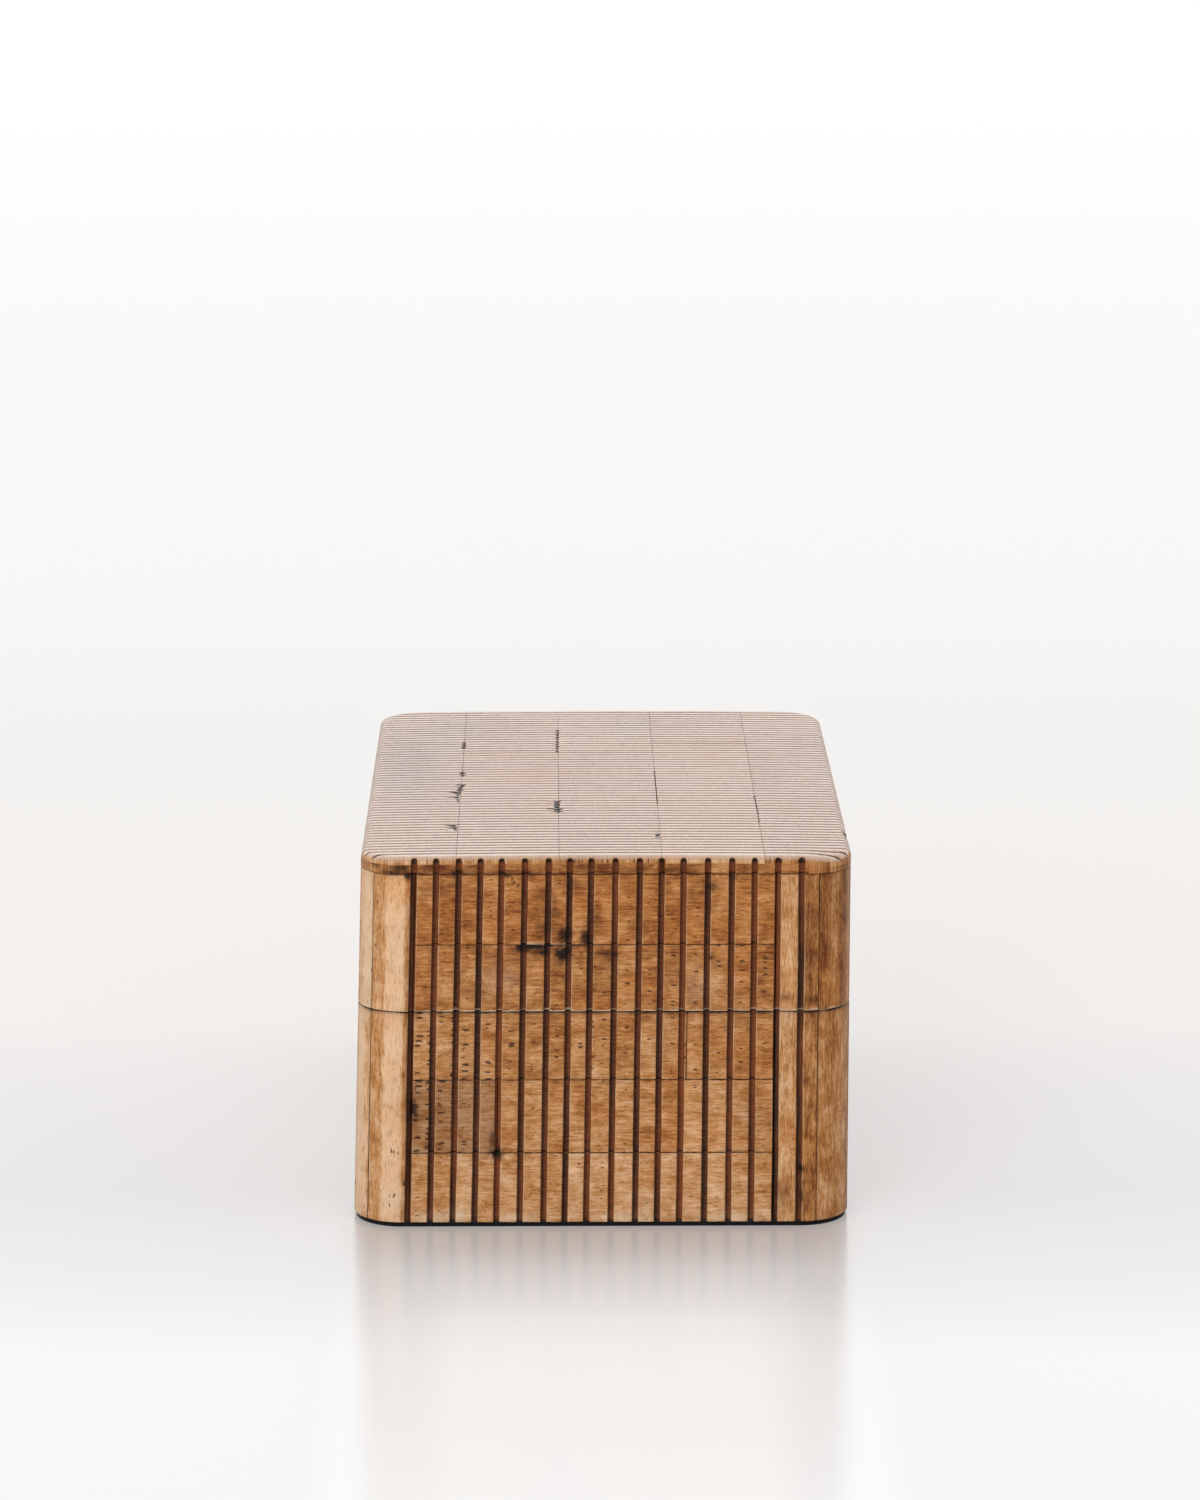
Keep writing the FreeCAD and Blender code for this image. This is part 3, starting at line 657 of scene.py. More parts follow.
def strip_tile(shell, joint, low, high, seed, side_x, side_y):
    """A corner strip from its joint on an end, round the corner, to its joint on a side."""
    joint = joint + JOINT_GAP / 2
    start = -(CORNER_Y - STRIP_Y) + JOINT_GAP / 2
    reach = CORNER_RADIUS * math.acos((joint - CORNER_X) / CORNER_RADIUS)
    places = []
    for groove in SIDE_GROOVES:
        into = groove - CORNER_Y
        if -1 < into < CORNER_RADIUS * 0.6:
            places.append(CORNER_RADIUS * math.asin(into / CORNER_RADIUS))
    s = stations(start, reach, places, FINE_PROFILE, STRIP_MESH[0])
    ss, zz, near_s, near_z = grid(s, level_stations(low, high, STRIP_MESH[1]))
    cut = groove_depth(ss, places, FINE_PROFILE)
    extra, wear_and_highlight, stain_and_seam_shade = seam_terms(ss, zz)
    depth = cut + rounding(near_s, EDGE_ROUND) + rounding(near_z, EDGE_ROUND) + extra
    depth = depth + 0.06 * (rand(seed, 3) - 0.5) + 0.03
    turn = np.clip(ss, 0, None) / CORNER_RADIUS
    radius = radius_at(zz) - depth
    scale = half_width(zz) / (BOX_WIDTH / 2)
    full = np.arccos(np.clip((joint * scale - CORNER_X) / radius_at(zz), -1, 1))
    turn = turn * full / (reach / CORNER_RADIUS)
    x = CORNER_X + radius * np.cos(turn)
    y = CORNER_Y + radius * np.sin(turn) + np.clip(ss, None, 0)
    points = leaned(np.stack([side_x * x, side_y * y, zz], -1))
    corner = [(CORE_X + BACK_GAP, STRIP_Y + JOINT_GAP / 2), (CORE_X + BACK_GAP, CORE_Y - CORE_BEVEL)]
    if joint < CORE_X - CORE_BEVEL:
        corner += [(CORE_X - CORE_BEVEL, CORE_Y + BACK_GAP), (joint, CORE_Y + BACK_GAP)]
    else:
        corner += [(joint, CORE_Y - CORE_BEVEL + BACK_GAP + max(CORE_X - joint, 0))]
    lengths = [0.0]
    for first, second in zip(corner[:-1], corner[1:]):
        lengths.append(lengths[-1] + math.hypot(second[0] - first[0], second[1] - first[1]))
    share = (ss - s[0]) / (s[-1] - s[0]) * lengths[-1]
    back_x = np.interp(share, lengths, [point[0] for point in corner])
    back_y = np.interp(share, lengths, [point[1] for point in corner])
    rear = np.stack([side_x * back_x, side_y * back_y, zz], -1)
    edge = np.exp(-near_z / 0.2) * 0.7 + np.exp(-near_s / 0.2) * 0.7
    band = unit(noise(ss * 0.28, 1.5, seed) * 1.3 - 0.15)
    # Painted light and shade: the left front corner strip and the one diagonally across from it are paler,
    # less amber and flecked with pale highlights, as if lit; the other two get painted shade, greyer
    # towards their tops.
    lit_corner = 1.0 if side_x * side_y > 0 else 0.0
    shade = unit((zz - 62) / 28) * 0.45 * (1 - lit_corner)
    values = {
        "light": unit(0.2 + 0.4 * lit_corner + 0.35 * band),
        "amber": 0.3 + 0.35 * noise(ss * 0.2, zz / 25, seed + 1) - 0.2 * lit_corner,
        "grey": shade + 0.2 * noise(ss * 0.3, zz / 15, seed + 2) * (1 - lit_corner),
        "groove": unit(cut / FINE_DEPTH),
        "edge": unit(edge),
        "deep": 0.4,
        "wear_and_highlight": np.maximum(wear_and_highlight, 0.5 * lit_corner * (noise(ss * 1.1, 2.5, seed) > 0.6)),
        "burn_and_seam_shade": stain_and_seam_shade,
        "pits": 0.1,
        "grain": grained(zz, ss, seed)}
    shell.add_tile(points, rear, values)


def strip_node(lid, material):
    low, high = wall_reach(lid)
    shell = Shell()
    seed = STRIP_SEED + 20 * lid
    for side_y in (-1, 1):
        for side in (-1, 1):
            seed += 1
            joint = abs(STRIP_LEFT) if side < 0 else STRIP_RIGHT
            strip_tile(shell, joint, low, high, seed, side * -side_y, side_y)
    shell.place(BODIES[lid] + "_corner_strips", material)


# Top slabs. Each is made with its outer end towards -Y; those at the back are turned round.

TOP_RADIUS = radius_at(BOX_HEIGHT)
TOP_LENGTH = half_length(BOX_HEIGHT)
TOP_SCALE = half_width(BOX_HEIGHT) / (BOX_WIDTH / 2)
TOP_SCALE_Y = TOP_LENGTH / (BOX_LENGTH / 2)
END_GROOVES_TOP = [place * TOP_SCALE for place in END_GROOVES]
FINE_GROOVES_TOP = [place * TOP_SCALE_Y for place in FINE_GROOVES]
SLAB_GAP = 0.03
CHIP_DEPTH = 0.45
BAND_TOP = BOX_HEIGHT - 0.9
BURNT = 0.25
CROSS_STEPS = (0.0, 0.05, 0.15)
JOINT_STEPS = (0.0, 0.05, 0.15, 0.45, 0.85, 1.4)
INNER_X = 50.9
EDGE_SHARES = (0.0, 0.008, 0.03, 0.07, 0.13, 0.22, 0.4, 0.7)
FRONT_STEPS = (0.0, 0.02, 0.06, 0.12, 0.2, 0.3, 0.42, 0.56, 0.75, 1.0, 1.4, 1.8, 2.3)
BAND_SHARES = (0.1, 0.2, 0.3, 0.4, 0.55, 0.7, 0.85, 0.95, 1.0)

# Chips filled with black, dark and grey clouds on the top: place, reach and strength
TOP_STROKES = (
    (-38, -6, -39.4, -17, 0.75, 1), (-39.2, -17, -38.9, -26, 0.5, 0.9),
    (-39.4, -52, -39, -58, 0.55, 1), (-38.4, 40, -38.3, 47, 0.6, 0.9),
    (-38.1, 5, -38, 10, 0.45, 0.9), (-12.8, -26, -12.3, -38, 0.7, 1.1),
    (13.3, -63, 13.5, -68, 0.5, 1), (-12.4, 34, -12.2, 62, 0.3, 0.8),
    (14.1, -30, 14.1, 10, 0.1, 0.6), (40.4, -50, 40.3, -20, 0.12, 0.6),
    (62.2, -58, 62.6, -64, 0.4, 0.9))
TOP_CLOUDS = (
    (-52, 20, 9, 42, 0.8), (-40, 60, 20, 16, 0.5), (8, 70, 14, 12, 0.35))
TOP_AMBER = (
    (-20, 10, 20, 22, 0.7), (-28, 62, 18, 12, 0.6), (34, 30, 18, 40, 0.4),
    (4, 40, 12, 18, 0.4))


def top_height(x, y):
    """Height of the slightly crowned top, worn down at the front right corner."""
    worn = unit((x - 49) / 9) ** 2 * unit((-y - 79) / 8)
    return BOX_HEIGHT - FACE_DROP - CROWN * (np.abs(x) / CROWN_REACH) ** 2.4 - worn


def edge_x(y):
    """Half width of the top's outline at a place along it."""
    into = np.clip(np.abs(y) - CORNER_Y, 0, TOP_RADIUS)
    return CORNER_X + np.sqrt(TOP_RADIUS ** 2 - into ** 2)


def inside(x, y):
    """Distance inside the top's outline, and the outward direction there."""
    over_x = np.abs(x) - CORNER_X
    over_y = np.abs(y) - CORNER_Y
    in_corner = (over_x > 0) & (over_y > 0)
    far = np.hypot(over_x, over_y)
    distance = np.where(in_corner, TOP_RADIUS - far, TOP_RADIUS - np.maximum(over_x, over_y))
    along_x = np.where(in_corner, over_x / np.maximum(far, 1e-6), (over_x >= over_y) * 1.0)
    along_y = np.where(in_corner, over_y / np.maximum(far, 1e-6), (over_y > over_x) * 1.0)
    return np.maximum(distance, 0), along_x * np.sign(x), along_y * np.sign(y)


def head_depth(x, z):
    """Depth of the round-headed ends of the wide grooves on the slabs' front band."""
    cut = groove_depth(x, END_GROOVES_TOP, END_PROFILE)
    offsets = [point[0] for point in END_PROFILE if point[0] >= 0]
    depths = [point[1] for point in END_PROFILE if point[0] >= 0]
    for place in END_GROOVES_TOP:
        above = z - (GROOVE_TOP - HEAD_RADIUS)
        near = np.abs(x - place) < 1.6
        round_cut = np.interp(np.hypot(x - place, np.maximum(above, 0)), offsets, depths, None, 0.0)
        cut = np.where(near & (above > 0), round_cut, cut)
    return cut


def cross_depth(x, y):
    """Depth of the cross grooves; the outer two of each end stop short of the long edges."""
    inner = groove_depth(y, FINE_GROOVES_TOP[2:-2], TOP_PROFILE)
    outer = groove_depth(y, FINE_GROOVES_TOP[:2] + FINE_GROOVES_TOP[-2:], TOP_PROFILE)
    return inner + outer * unit((edge_x(y) - np.abs(x)) / 2.5)


def slab_columns(y, left, right, fine):
    """Places across a slab at each place along it."""
    grooves = END_GROOVES_TOP if fine else ()
    low = -INNER_X if left is None else left + SLAB_GAP
    high = INNER_X if right is None else right - SLAB_GAP
    low_steps = (0.0,) if left is None else JOINT_STEPS
    high_steps = (0.0,) if right is None else JOINT_STEPS
    middle = stations(low, high, grooves, END_PROFILE, 1.0 if fine else 2.2, low_steps, high_steps)
    reach = edge_x(y)[:, None]
    parts = [np.repeat(middle[None, :], len(y), 0)]
    shares = np.array(EDGE_SHARES)[None, :]
    if left is None:
        parts.insert(0, -reach + (reach - INNER_X) * shares)
    if right is None:
        parts.append(reach - (reach - INNER_X) * shares[:, ::-1])
    return np.concatenate(parts, 1)


def slab_values(x, y, real_x, real_y, groove, near_x, near_y, seed):
    """What the bone of a slab's top looks like, by its own places and the real ones."""
    broken = unit(noise(y / 7, 1.5, seed) * 2 - 0.6)
    edge = np.maximum(0.5 * broken * np.exp(-near_x / 0.1), 0.3 * np.exp(-near_y / 0.1))
    light = 0.5 + 0.25 * (rand(seed, 11) - 0.5) + 0.25 * sway(x / 14, y / 40, seed)
    return {
        "light": unit(light),
        "amber": np.maximum(patches(TOP_AMBER, real_x, real_y, 84), 0.3 * noise(x / 20, y / 30, seed + 1)),
        "grey": patches(TOP_CLOUDS, real_x, real_y, 83),
        "groove": unit(groove),
        "deep": 1.0,
        "edge": edge,
        "burn_and_seam_shade": strokes(TOP_STROKES, real_x, real_y, 81),
        "pits": 0.2,
        "grain": grained(y, x, seed)}


def slab_top(shell, y, x, left, right, rear, seed, turned):
    """One grid of a slab's top, rounding over at the outline."""
    yy = np.repeat(y[:, None], x.shape[1], 1)
    distance, away_x, away_y = inside(x, yy)
    drop = rounding(distance, TOP_ROUND)
    lean = unit(1 - distance / TOP_ROUND)
    cut = cross_depth(x, yy)
    near_x = np.full_like(x, 9.0)
    if left is not None:
        near_x = np.minimum(near_x, x - (left + SLAB_GAP))
    if right is not None:
        near_x = np.minimum(near_x, (right - SLAB_GAP) - x)
    near_y = (rear - SLAB_GAP) - yy
    joint = rounding(near_x, 0.05) + rounding(near_y, 0.05)
    real_x, real_y = (-x, -yy) if turned else (x, yy)
    nominal = top_height(real_x, real_y) - drop
    heads = head_depth(x, nominal) * (yy < -TOP_LENGTH + 2.0) * (np.abs(x) < INNER_X + 0.5)
    depth = cut * (1 + 0.15 * sway(x / 9, yy / 2.9, 31)) + joint * unit(distance)
    ripple = 0.05 * sway(x / 23, yy / 6, 33) * unit(distance / 2) * unit(near_y)
    level = 0.06 * (rand(seed, 3) - 0.5) * unit(distance / 3)
    full = np.maximum(depth, heads) + CHIP_DEPTH * unit(strokes(TOP_STROKES, real_x, real_y, 81))
    flat = np.sqrt(1 - lean ** 2)
    z = nominal - full * flat * (heads < 0.01) - 0.25 * heads * flat + level
    px = x - full * lean * away_x
    py = yy + ripple - (full * lean + heads * (1 - lean)) * away_y
    dark = np.maximum(unit(cut / 0.3), heads / END_DEPTH)
    values = slab_values(x, yy, real_x, real_y, dark, near_x, near_y, seed)
    points = np.stack([px, py, z], -1)
    ids = shell.add_points(points, values).reshape(x.shape)
    shell.add_quads(ids)
    return ids, depth, values


def slab_band(shell, row, x, y, depth, values, heads):
    """The wall of a slab below a row of points on its outline."""
    rows = [row]
    start = BOX_HEIGHT - FACE_DROP - TOP_ROUND
    edge_z = np.concatenate(shell.points)[row][:, 2]
    mid_x = np.clip(x, -CORNER_X, CORNER_X)
    mid_y = np.clip(y, -CORNER_Y, CORNER_Y)
    away_x = (x - mid_x) / TOP_RADIUS
    away_y = (y - mid_y) / TOP_RADIUS
    for share in BAND_SHARES:
        level = np.minimum(edge_z, start) * (1 - share) + (SLAB_FOOT + 0.08) * share
        cut = head_depth(x, level) if heads else depth
        reach = radius_at(level) - cut
        here = dict(values)
        if heads:
            here["groove"] = cut / END_DEPTH
            here["grain"] = np.stack([x, level, values["grain"][:, 2]], -1)
            here["burn_and_seam_shade"] = burnt(x, level)
            here["grey"] = patches(GREY_PATCHES, x, level, 96)
            here["amber"] = 0.3 + 0.4 * noise(x / 9, level / 3, 98)
            here["deep"] = 0.25
            here["edge"] = 0.6 * np.exp(-(level - SLAB_FOOT) / 0.3)
            here["light"] = 0.2 + 0.4 * sway(x / 5, level / 3, 99)
        else:
            corner = unit((np.abs(y) - CORNER_Y) / 3)
            here["burn_and_seam_shade"] = patches(BURN_PATCHES, x, level, 91) * corner
            here["light"] = 0.25 + 0.35 * noise(y / 7, level / 3, 99)
            here["amber"] = 0.4
        place = np.stack([mid_x + away_x * reach, mid_y + away_y * reach, level], -1)
        rows.append(shell.add_points(place, here))
    shell.add_quads(np.stack(rows, 0))


def zip_rows(shell, first, first_x, second, second_x):
    """Triangles between two rows of points that share their end points' places."""
    i = j = 0
    while i < len(first) - 1 or j < len(second) - 1:
        take_first = j == len(second) - 1 or (i < len(first) - 1 and first_x[i + 1] <= second_x[j + 1])
        if take_first:
            shell.faces.append((int(first[i]), int(first[i + 1]), int(second[j])))
            i += 1
        else:
            shell.faces.append((int(first[i]), int(second[j + 1]), int(second[j])))
            j += 1


def picked(values, shape, index):
    """The values of one row or column of a grid."""
    result = {}
    for name, value in values.items():
        value = np.asarray(value, float)
        if name == "grain":
            result[name] = value.reshape(shape + (3,))[index]
        elif value.size > 1:
            result[name] = value.reshape(shape)[index]
        else:
            result[name] = value
    return result


def slab(left, right, rear, seed, turned):
    """A closed slab with its outer end in front. None as a limit is one of the long edges."""
    shell = Shell()
    front_y = np.array([-TOP_LENGTH + step for step in FRONT_STEPS])
    rear_y = rear - SLAB_GAP
    rest_y = stations(front_y[-1], rear_y, FINE_GROOVES_TOP, TOP_PROFILE, 1.1, (0.0,), CROSS_STEPS)
    grids = []
    for y, fine in ((front_y, True), (rest_y, False)):
        x = slab_columns(y, left, right, fine)
        ids, depth, values = slab_top(shell, y, x, left, right, rear, seed, turned)
        grids.append((x, ids))
        for limit, column in ((left, 0), (right, -1)):
            if limit is None:
                here = picked(values, x.shape, (slice(None), column))
                slab_band(shell, ids[:, column], x[:, column], y, depth[:, column], here, False)
        if fine:
            here = picked(values, x.shape, 0)
            slab_band(shell, ids[0], x[0], np.full_like(x[0], y[0]), depth[0], here, True)
    zip_rows(shell, grids[0][1][-1], grids[0][0][-1], grids[1][1][0], grids[1][0][0])
    for points in shell.points:
        leaned(points, turned)
    return close_slab(shell.mesh("slab"))


def close_slab(mesh):
    """Weld a slab's grids, then wall its joints down to the foot and cover the underside."""
    work = bmesh.new()
    work.from_mesh(mesh)
    bmesh.ops.remove_doubles(work, verts=work.verts, dist=WELD)
    foot = (SLAB_FOOT + PLAY) * MM
    edges = [edge for edge in work.edges if edge.is_boundary]
    made = bmesh.ops.extrude_edge_only(work, edges=edges)
    raw = work.verts.layers.float["raw"]
    for vert in [item for item in made["geom"] if isinstance(item, bmesh.types.BMVert)]:
        vert[raw] = 1.0 if vert.co.z > foot + 0.4 * MM else 0.0
        vert.co.z = foot
    bmesh.ops.holes_fill(work, edges=[edge for edge in work.edges if edge.is_boundary], sides=0)
    bmesh.ops.recalc_face_normals(work, faces=work.faces)
    work.to_mesh(mesh)
    work.free()
    return mesh


def slab_node(material, wall_material):
    """All the slabs. Their outer faces and the burnt chips look like the walls."""
    lefts = (None,) + SLAB_JOINTS
    rights = SLAB_JOINTS + (None,)
    seed = SLAB_SEED
    joined = bmesh.new()
    for left, right, cross in zip(lefts, rights, CROSS_JOINTS):
        turned_left = None if right is None else -right
        turned_right = None if left is None else -left
        for mesh in (slab(left, right, cross, seed + 1, False),
                     slab(turned_left, turned_right, -cross, seed + 2, True)):
            joined.from_mesh(mesh)
            bpy.data.meshes.remove(mesh)
        seed += 2
    mesh = bpy.data.meshes.new("lid_top_bone")
    joined.to_mesh(mesh)
    joined.free()
    piece = place_bone(mesh, "lid_top_slabs", material)
    mesh.materials.append(wall_material)
    burn_and_seam_shade = np.zeros(len(mesh.vertices), np.float32)
    mesh.attributes["burn_and_seam_shade"].data.foreach_get("value", burn_and_seam_shade)
    for face in mesh.polygons:
        steep = abs(face.normal.z) < 0.45 and math.hypot(face.normal.x, face.normal.y) > 0.5
        low = min(mesh.vertices[index].co.z for index in face.vertices)
        if min(burn_and_seam_shade[index] for index in face.vertices) > BURNT or (steep and low < BAND_TOP * MM):
            face.material_index = 1
    return piece


# Materials

class Graph:
    """Short calls for building the nodes of a material or a world."""

    def __init__(self, owner):
        owner.use_nodes = True
        self.owner = owner
        self.tree = owner.node_tree

    def add(self, kind, inputs=None, **settings):
        node = self.tree.nodes.new(kind)
        for key, value in settings.items():
            setattr(node, key, value)
        for key, value in (inputs or {}).items():
            self.set(node.inputs[key], value)
        return node

    def set(self, socket, value):
        if isinstance(value, bpy.types.NodeSocket):
            self.tree.links.new(value, socket)
        else:
            socket.default_value = value

    def shaded(self, inputs):
        """The material, with these inputs of its shader."""
        for key, value in inputs.items():
            self.set(self.tree.nodes["Principled BSDF"].inputs[key], value)
        return self.owner

    def places(self):
        return self.add("ShaderNodeTexCoord").outputs["Object"]

    def value(self, name):
        return self.add("ShaderNodeAttribute", attribute_name=name).outputs["Fac"]

    def vector(self, name):
        return self.add("ShaderNodeAttribute", attribute_name=name).outputs["Vector"]

    def math(self, operation, first, second=0.0, clamp=False):
        inputs = {0: first, 1: second}
        return self.add("ShaderNodeMath", inputs, operation=operation, use_clamp=clamp).outputs[0]

    def times(self, first, second, clamp=False):
        return self.math("MULTIPLY", first, second, clamp)

    def total(self, *terms):
        """A sum of values, each given with its share."""
        result = None
        for value, share in terms:
            part = self.times(value, share)
            result = part if result is None else self.math("ADD", result, part)
        return result

    def mix(self, factor, first, second, blend="MIX"):
        inputs = {0: factor, 6: first, 7: second}
        return self.add("ShaderNodeMix", inputs, data_type="RGBA", blend_type=blend).outputs[2]

    def tinted(self, base, tint):
        return self.mix(1.0, base, tint, "MULTIPLY")

    def moved(self, operation, vector, other):
        return self.add("ShaderNodeVectorMath", {0: vector, 1: other}, operation=operation).outputs[0]

    def noise(self, vector, scale, detail, roughness=0.5, distortion=0.0, output="Fac"):
        """Noise with a scale for each axis."""
        inputs = {"Vector": self.moved("MULTIPLY", vector, scale), "Scale": 1.0, "Detail": detail,
                  "Roughness": roughness, "Distortion": distortion}
        return self.add("ShaderNodeTexNoise", inputs).outputs[output]

    def ramp(self, factor, stops):
        node = self.add("ShaderNodeValToRGB", {"Fac": factor})
        ramp = node.color_ramp
        while len(ramp.elements) < len(stops):
            ramp.elements.new(0.5)
        for element, (place, colour) in zip(ramp.elements, stops):
            element.position = place
            element.color = colour
        return node.outputs["Color"]

    def range(self, value, low, high, to_low=0.0, to_high=1.0, kind="LINEAR"):
        inputs = {"Value": value, "From Min": low, "From Max": high, "To Min": to_low, "To Max": to_high}
        return self.add("ShaderNodeMapRange", inputs, interpolation_type=kind).outputs["Result"]

    def bump(self, height, strength, distance):
        inputs = {"Height": height, "Strength": strength, "Distance": distance}
        return self.add("ShaderNodeBump", inputs).outputs[0]


def srgb(red, green, blue):
    """A colour given in screen values from 0 to 255."""
    result = []
    for value in (red, green, blue):
        value = value / 255
        result.append(value / 12.92 if value <= 0.04045 else ((value + 0.055) / 1.055) ** 2.4)
    return tuple(result) + (1.0,)


def bone_material(name, dark, middle, pale, dulled, contrast, coat, specular):
    """Bone, from its grain and from the values that its mesh carries."""
    g = Graph(bpy.data.materials.new(name))
    grain = g.vector("grain")
    streak = g.noise(grain, (0.16, 1.7, 1.0), 5.0, 0.6, 0.4)
    fibre = g.noise(grain, (0.9, 7.5, 1.0), 3.0, 0.65)
    mottle = g.noise(grain, (0.2, 0.28, 1.0), 5.0, 0.6)
    cloud = g.noise(grain, (0.07, 0.09, 1.0), 3.0)
    tone = g.total((streak, 0.55), (fibre, 0.6), (mottle, 0.6), (g.value("light"), 0.5))
    base = g.ramp(g.range(tone, 1.1 - contrast, 1.1 + contrast), ((0.0, dark), (0.5, middle), (1.0, pale)))
    fleck = g.range(g.noise(grain, (0.42, 4.6, 1.0), 2.0), 0.57, 0.68)
    base = g.mix(g.times(fleck, 0.85), base, g.tinted(base, (0.56, 0.46, 0.36, 1.0)))
    amber = g.math("ADD", g.value("amber"), g.range(cloud, 0.5, 0.75, 0.0, 0.5), True)
    base = g.mix(g.times(amber, 0.62), base, g.tinted(base, (0.93, 0.62, 0.3, 1.0)))
    base = g.mix(g.times(g.value("grey"), 0.8), base, g.tinted(base, dulled))
    # Grooves, darker on one side where painted shade stands in for a groove wall's shadow; dark edges;
    # pale wear, with painted highlights on rib edges and corner strips in the same value
    groove = g.times(g.math("POWER", g.value("groove"), 0.5), 0.97)
    shade = g.math("ADD", g.value("deep"), g.range(streak, 0.35, 0.65, -0.25, 0.25), True)
    base = g.mix(groove, base, g.mix(shade, srgb(158, 84, 40), srgb(56, 28, 14)))
    base = g.mix(g.times(g.value("edge"), 0.7), base, srgb(56, 34, 20))
    wear_and_highlight = g.times(g.value("wear_and_highlight"), g.range(fibre, 0.3, 0.6, 0.6, 1.0), True)
    base = g.mix(wear_and_highlight, base, srgb(240, 212, 178))
    # Pits: some of the cells of a bent pattern hold one
    bent = g.noise(grain, (0.5, 0.5, 1.0), 3.0, output="Color")
    bent = g.moved("MULTIPLY", bent, (0.0, 0.9, 0.0))
    place = g.moved("ADD", g.moved("MULTIPLY", grain, (0.34, 1.0, 1.0)), bent)
    cells = g.add("ShaderNodeTexVoronoi", {"Vector": place, "Scale": 1.0}, voronoi_dimensions="2D")
    chance = g.add("ShaderNodeSeparateColor", {0: cells.outputs["Color"]}).outputs[0]
    rarity = g.range(g.value("pits"), 0.0, 1.4, 1.0, 0.45)
    reach = g.range(g.math("SUBTRACT", chance, rarity), 0.0, 0.3, 0.11, 0.36)
    reach = g.times(reach, g.math("GREATER_THAN", chance, rarity))
    pit = g.range(g.math("SUBTRACT", reach, cells.outputs["Distance"]), 0.0, 0.05)
    pit = g.times(pit, g.math("SUBTRACT", 1.0, g.value("groove"), True))
    base = g.mix(g.times(pit, 0.85), base, srgb(58, 34, 20))
    # Burns darken the bone first and then hide it, and the same value darkens the base's top edge with a
    # stain and painted shade of the seam; raw bone shows where it was cut
    burn_and_seam_shade = g.times(g.value("burn_and_seam_shade"), g.range(fibre, 0.3, 0.62, 0.5, 1.3), True)
    base = g.mix(burn_and_seam_shade, base, g.tinted(base, (0.2, 0.13, 0.1, 1.0)))
    base = g.mix(g.range(burn_and_seam_shade, 0.5, 1.0), base, srgb(30, 22, 19))
    base = g.mix(g.times(g.value("raw"), 0.8), base, srgb(205, 176, 138))
    height = g.total((fibre, 0.35), (pit, -1.0), (fleck, -0.3), (streak, 0.4))
    return g.shaded({
        "Base Color": base, "Normal": g.bump(height, 0.3, 0.0001),
        "Roughness": g.range(streak, 0.2, 0.8, 0.34, 0.5), "Specular IOR Level": specular,
        "Coat Weight": coat, "Coat Roughness": 0.1})


def wood_material():
    g = Graph(bpy.data.materials.new("brown_wood"))
    place = g.places()
    rings = g.noise(place, (60.0, 60.0, 900.0), 5.0, 0.6, 0.6)
    fleck = g.noise(place, (400.0, 400.0, 5000.0), 2.0)
    tone = g.total((rings, 0.75), (fleck, 0.25))
    stops = ((0.0, srgb(88, 52, 30)), (0.55, srgb(128, 80, 48)), (1.0, srgb(158, 106, 66)))
    return g.shaded({
        "Base Color": g.ramp(g.range(tone, 0.3, 0.7), stops), "Normal": g.bump(tone, 0.3, 0.0002),
        "Roughness": g.range(tone, 0.2, 0.8, 0.45, 0.65)})


def cloth_material(name, dark, pale, fuzz):
    g = Graph(bpy.data.materials.new(name))
    place = g.places()
    fine = g.noise(place, (4000.0, 4000.0, 4000.0), 3.0, 0.7)
    tone = g.total((fine, 0.6), (g.noise(place, (120.0, 120.0, 120.0), 3.0), 0.4))
    return g.shaded({
        "Base Color": g.ramp(g.range(tone, 0.3, 0.7), ((0.0, dark), (1.0, pale))),
        "Normal": g.bump(fine, 0.6, 0.0002), "Roughness": 0.95, "Sheen Weight": fuzz,
        "Specular IOR Level": 0.15})


END_BONE = bone_material(
    "stained_bone", dark=srgb(116, 56, 20), middle=srgb(204, 145, 84), pale=srgb(250, 212, 174),
    dulled=(0.54, 0.47, 0.42, 1.0), contrast=0.255, coat=0.15, specular=0.22)
TOP_BONE = bone_material(
    "top_bone", dark=srgb(150, 108, 78), middle=srgb(188, 148, 118), pale=srgb(216, 182, 152),
    dulled=(0.5, 0.58, 0.66, 1.0), contrast=0.5, coat=1.0, specular=0.6)
WOOD = wood_material()
FELT = cloth_material("black_felt", srgb(14, 14, 15), srgb(34, 33, 34), 0.15)
LINING = cloth_material("brown_lining", srgb(58, 38, 30), srgb(92, 62, 48), 0.4)

for lid in (False, True):
    for turned in (False, True):
        end_node(lid, turned, END_BONE)
    for side in (-1, 1):
        side_node(lid, side, END_BONE)
    strip_node(lid, END_BONE)
slab_node(TOP_BONE, END_BONE)

# The pieces that the scene doesn't replace: boards, lip, linings and felt
for name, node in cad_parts.items():
    material = FELT if name == "base_felt" else LINING if "lining" in name else WOOD
    if name.endswith(("tiles", "strips", "slabs")):
        material = END_BONE
    node.data.materials.clear()
    node.data.materials.append(material)


# Floor, with the studio's pale background painted on it

FLOOR_HALF = 9.0
FLOOR_GLOW = 0.35
# Places along the floor in metres, with the tone there
FLOOR_TONES = (
    (-0.30, (231, 231, 231)), (-0.19, (231, 231, 231)), (-0.13, (218, 217, 217)), (-0.06, (208, 206, 206)),
    (0.03, (211, 208, 208)), (0.075, (213, 209, 208)), (0.105, (217, 212, 210)), (0.26, (214, 209, 206)),
    (0.56, (212, 210, 207)), (0.76, (216, 215, 213)), (1.1, (213, 213, 212)), (1.7, (208, 208, 208)))


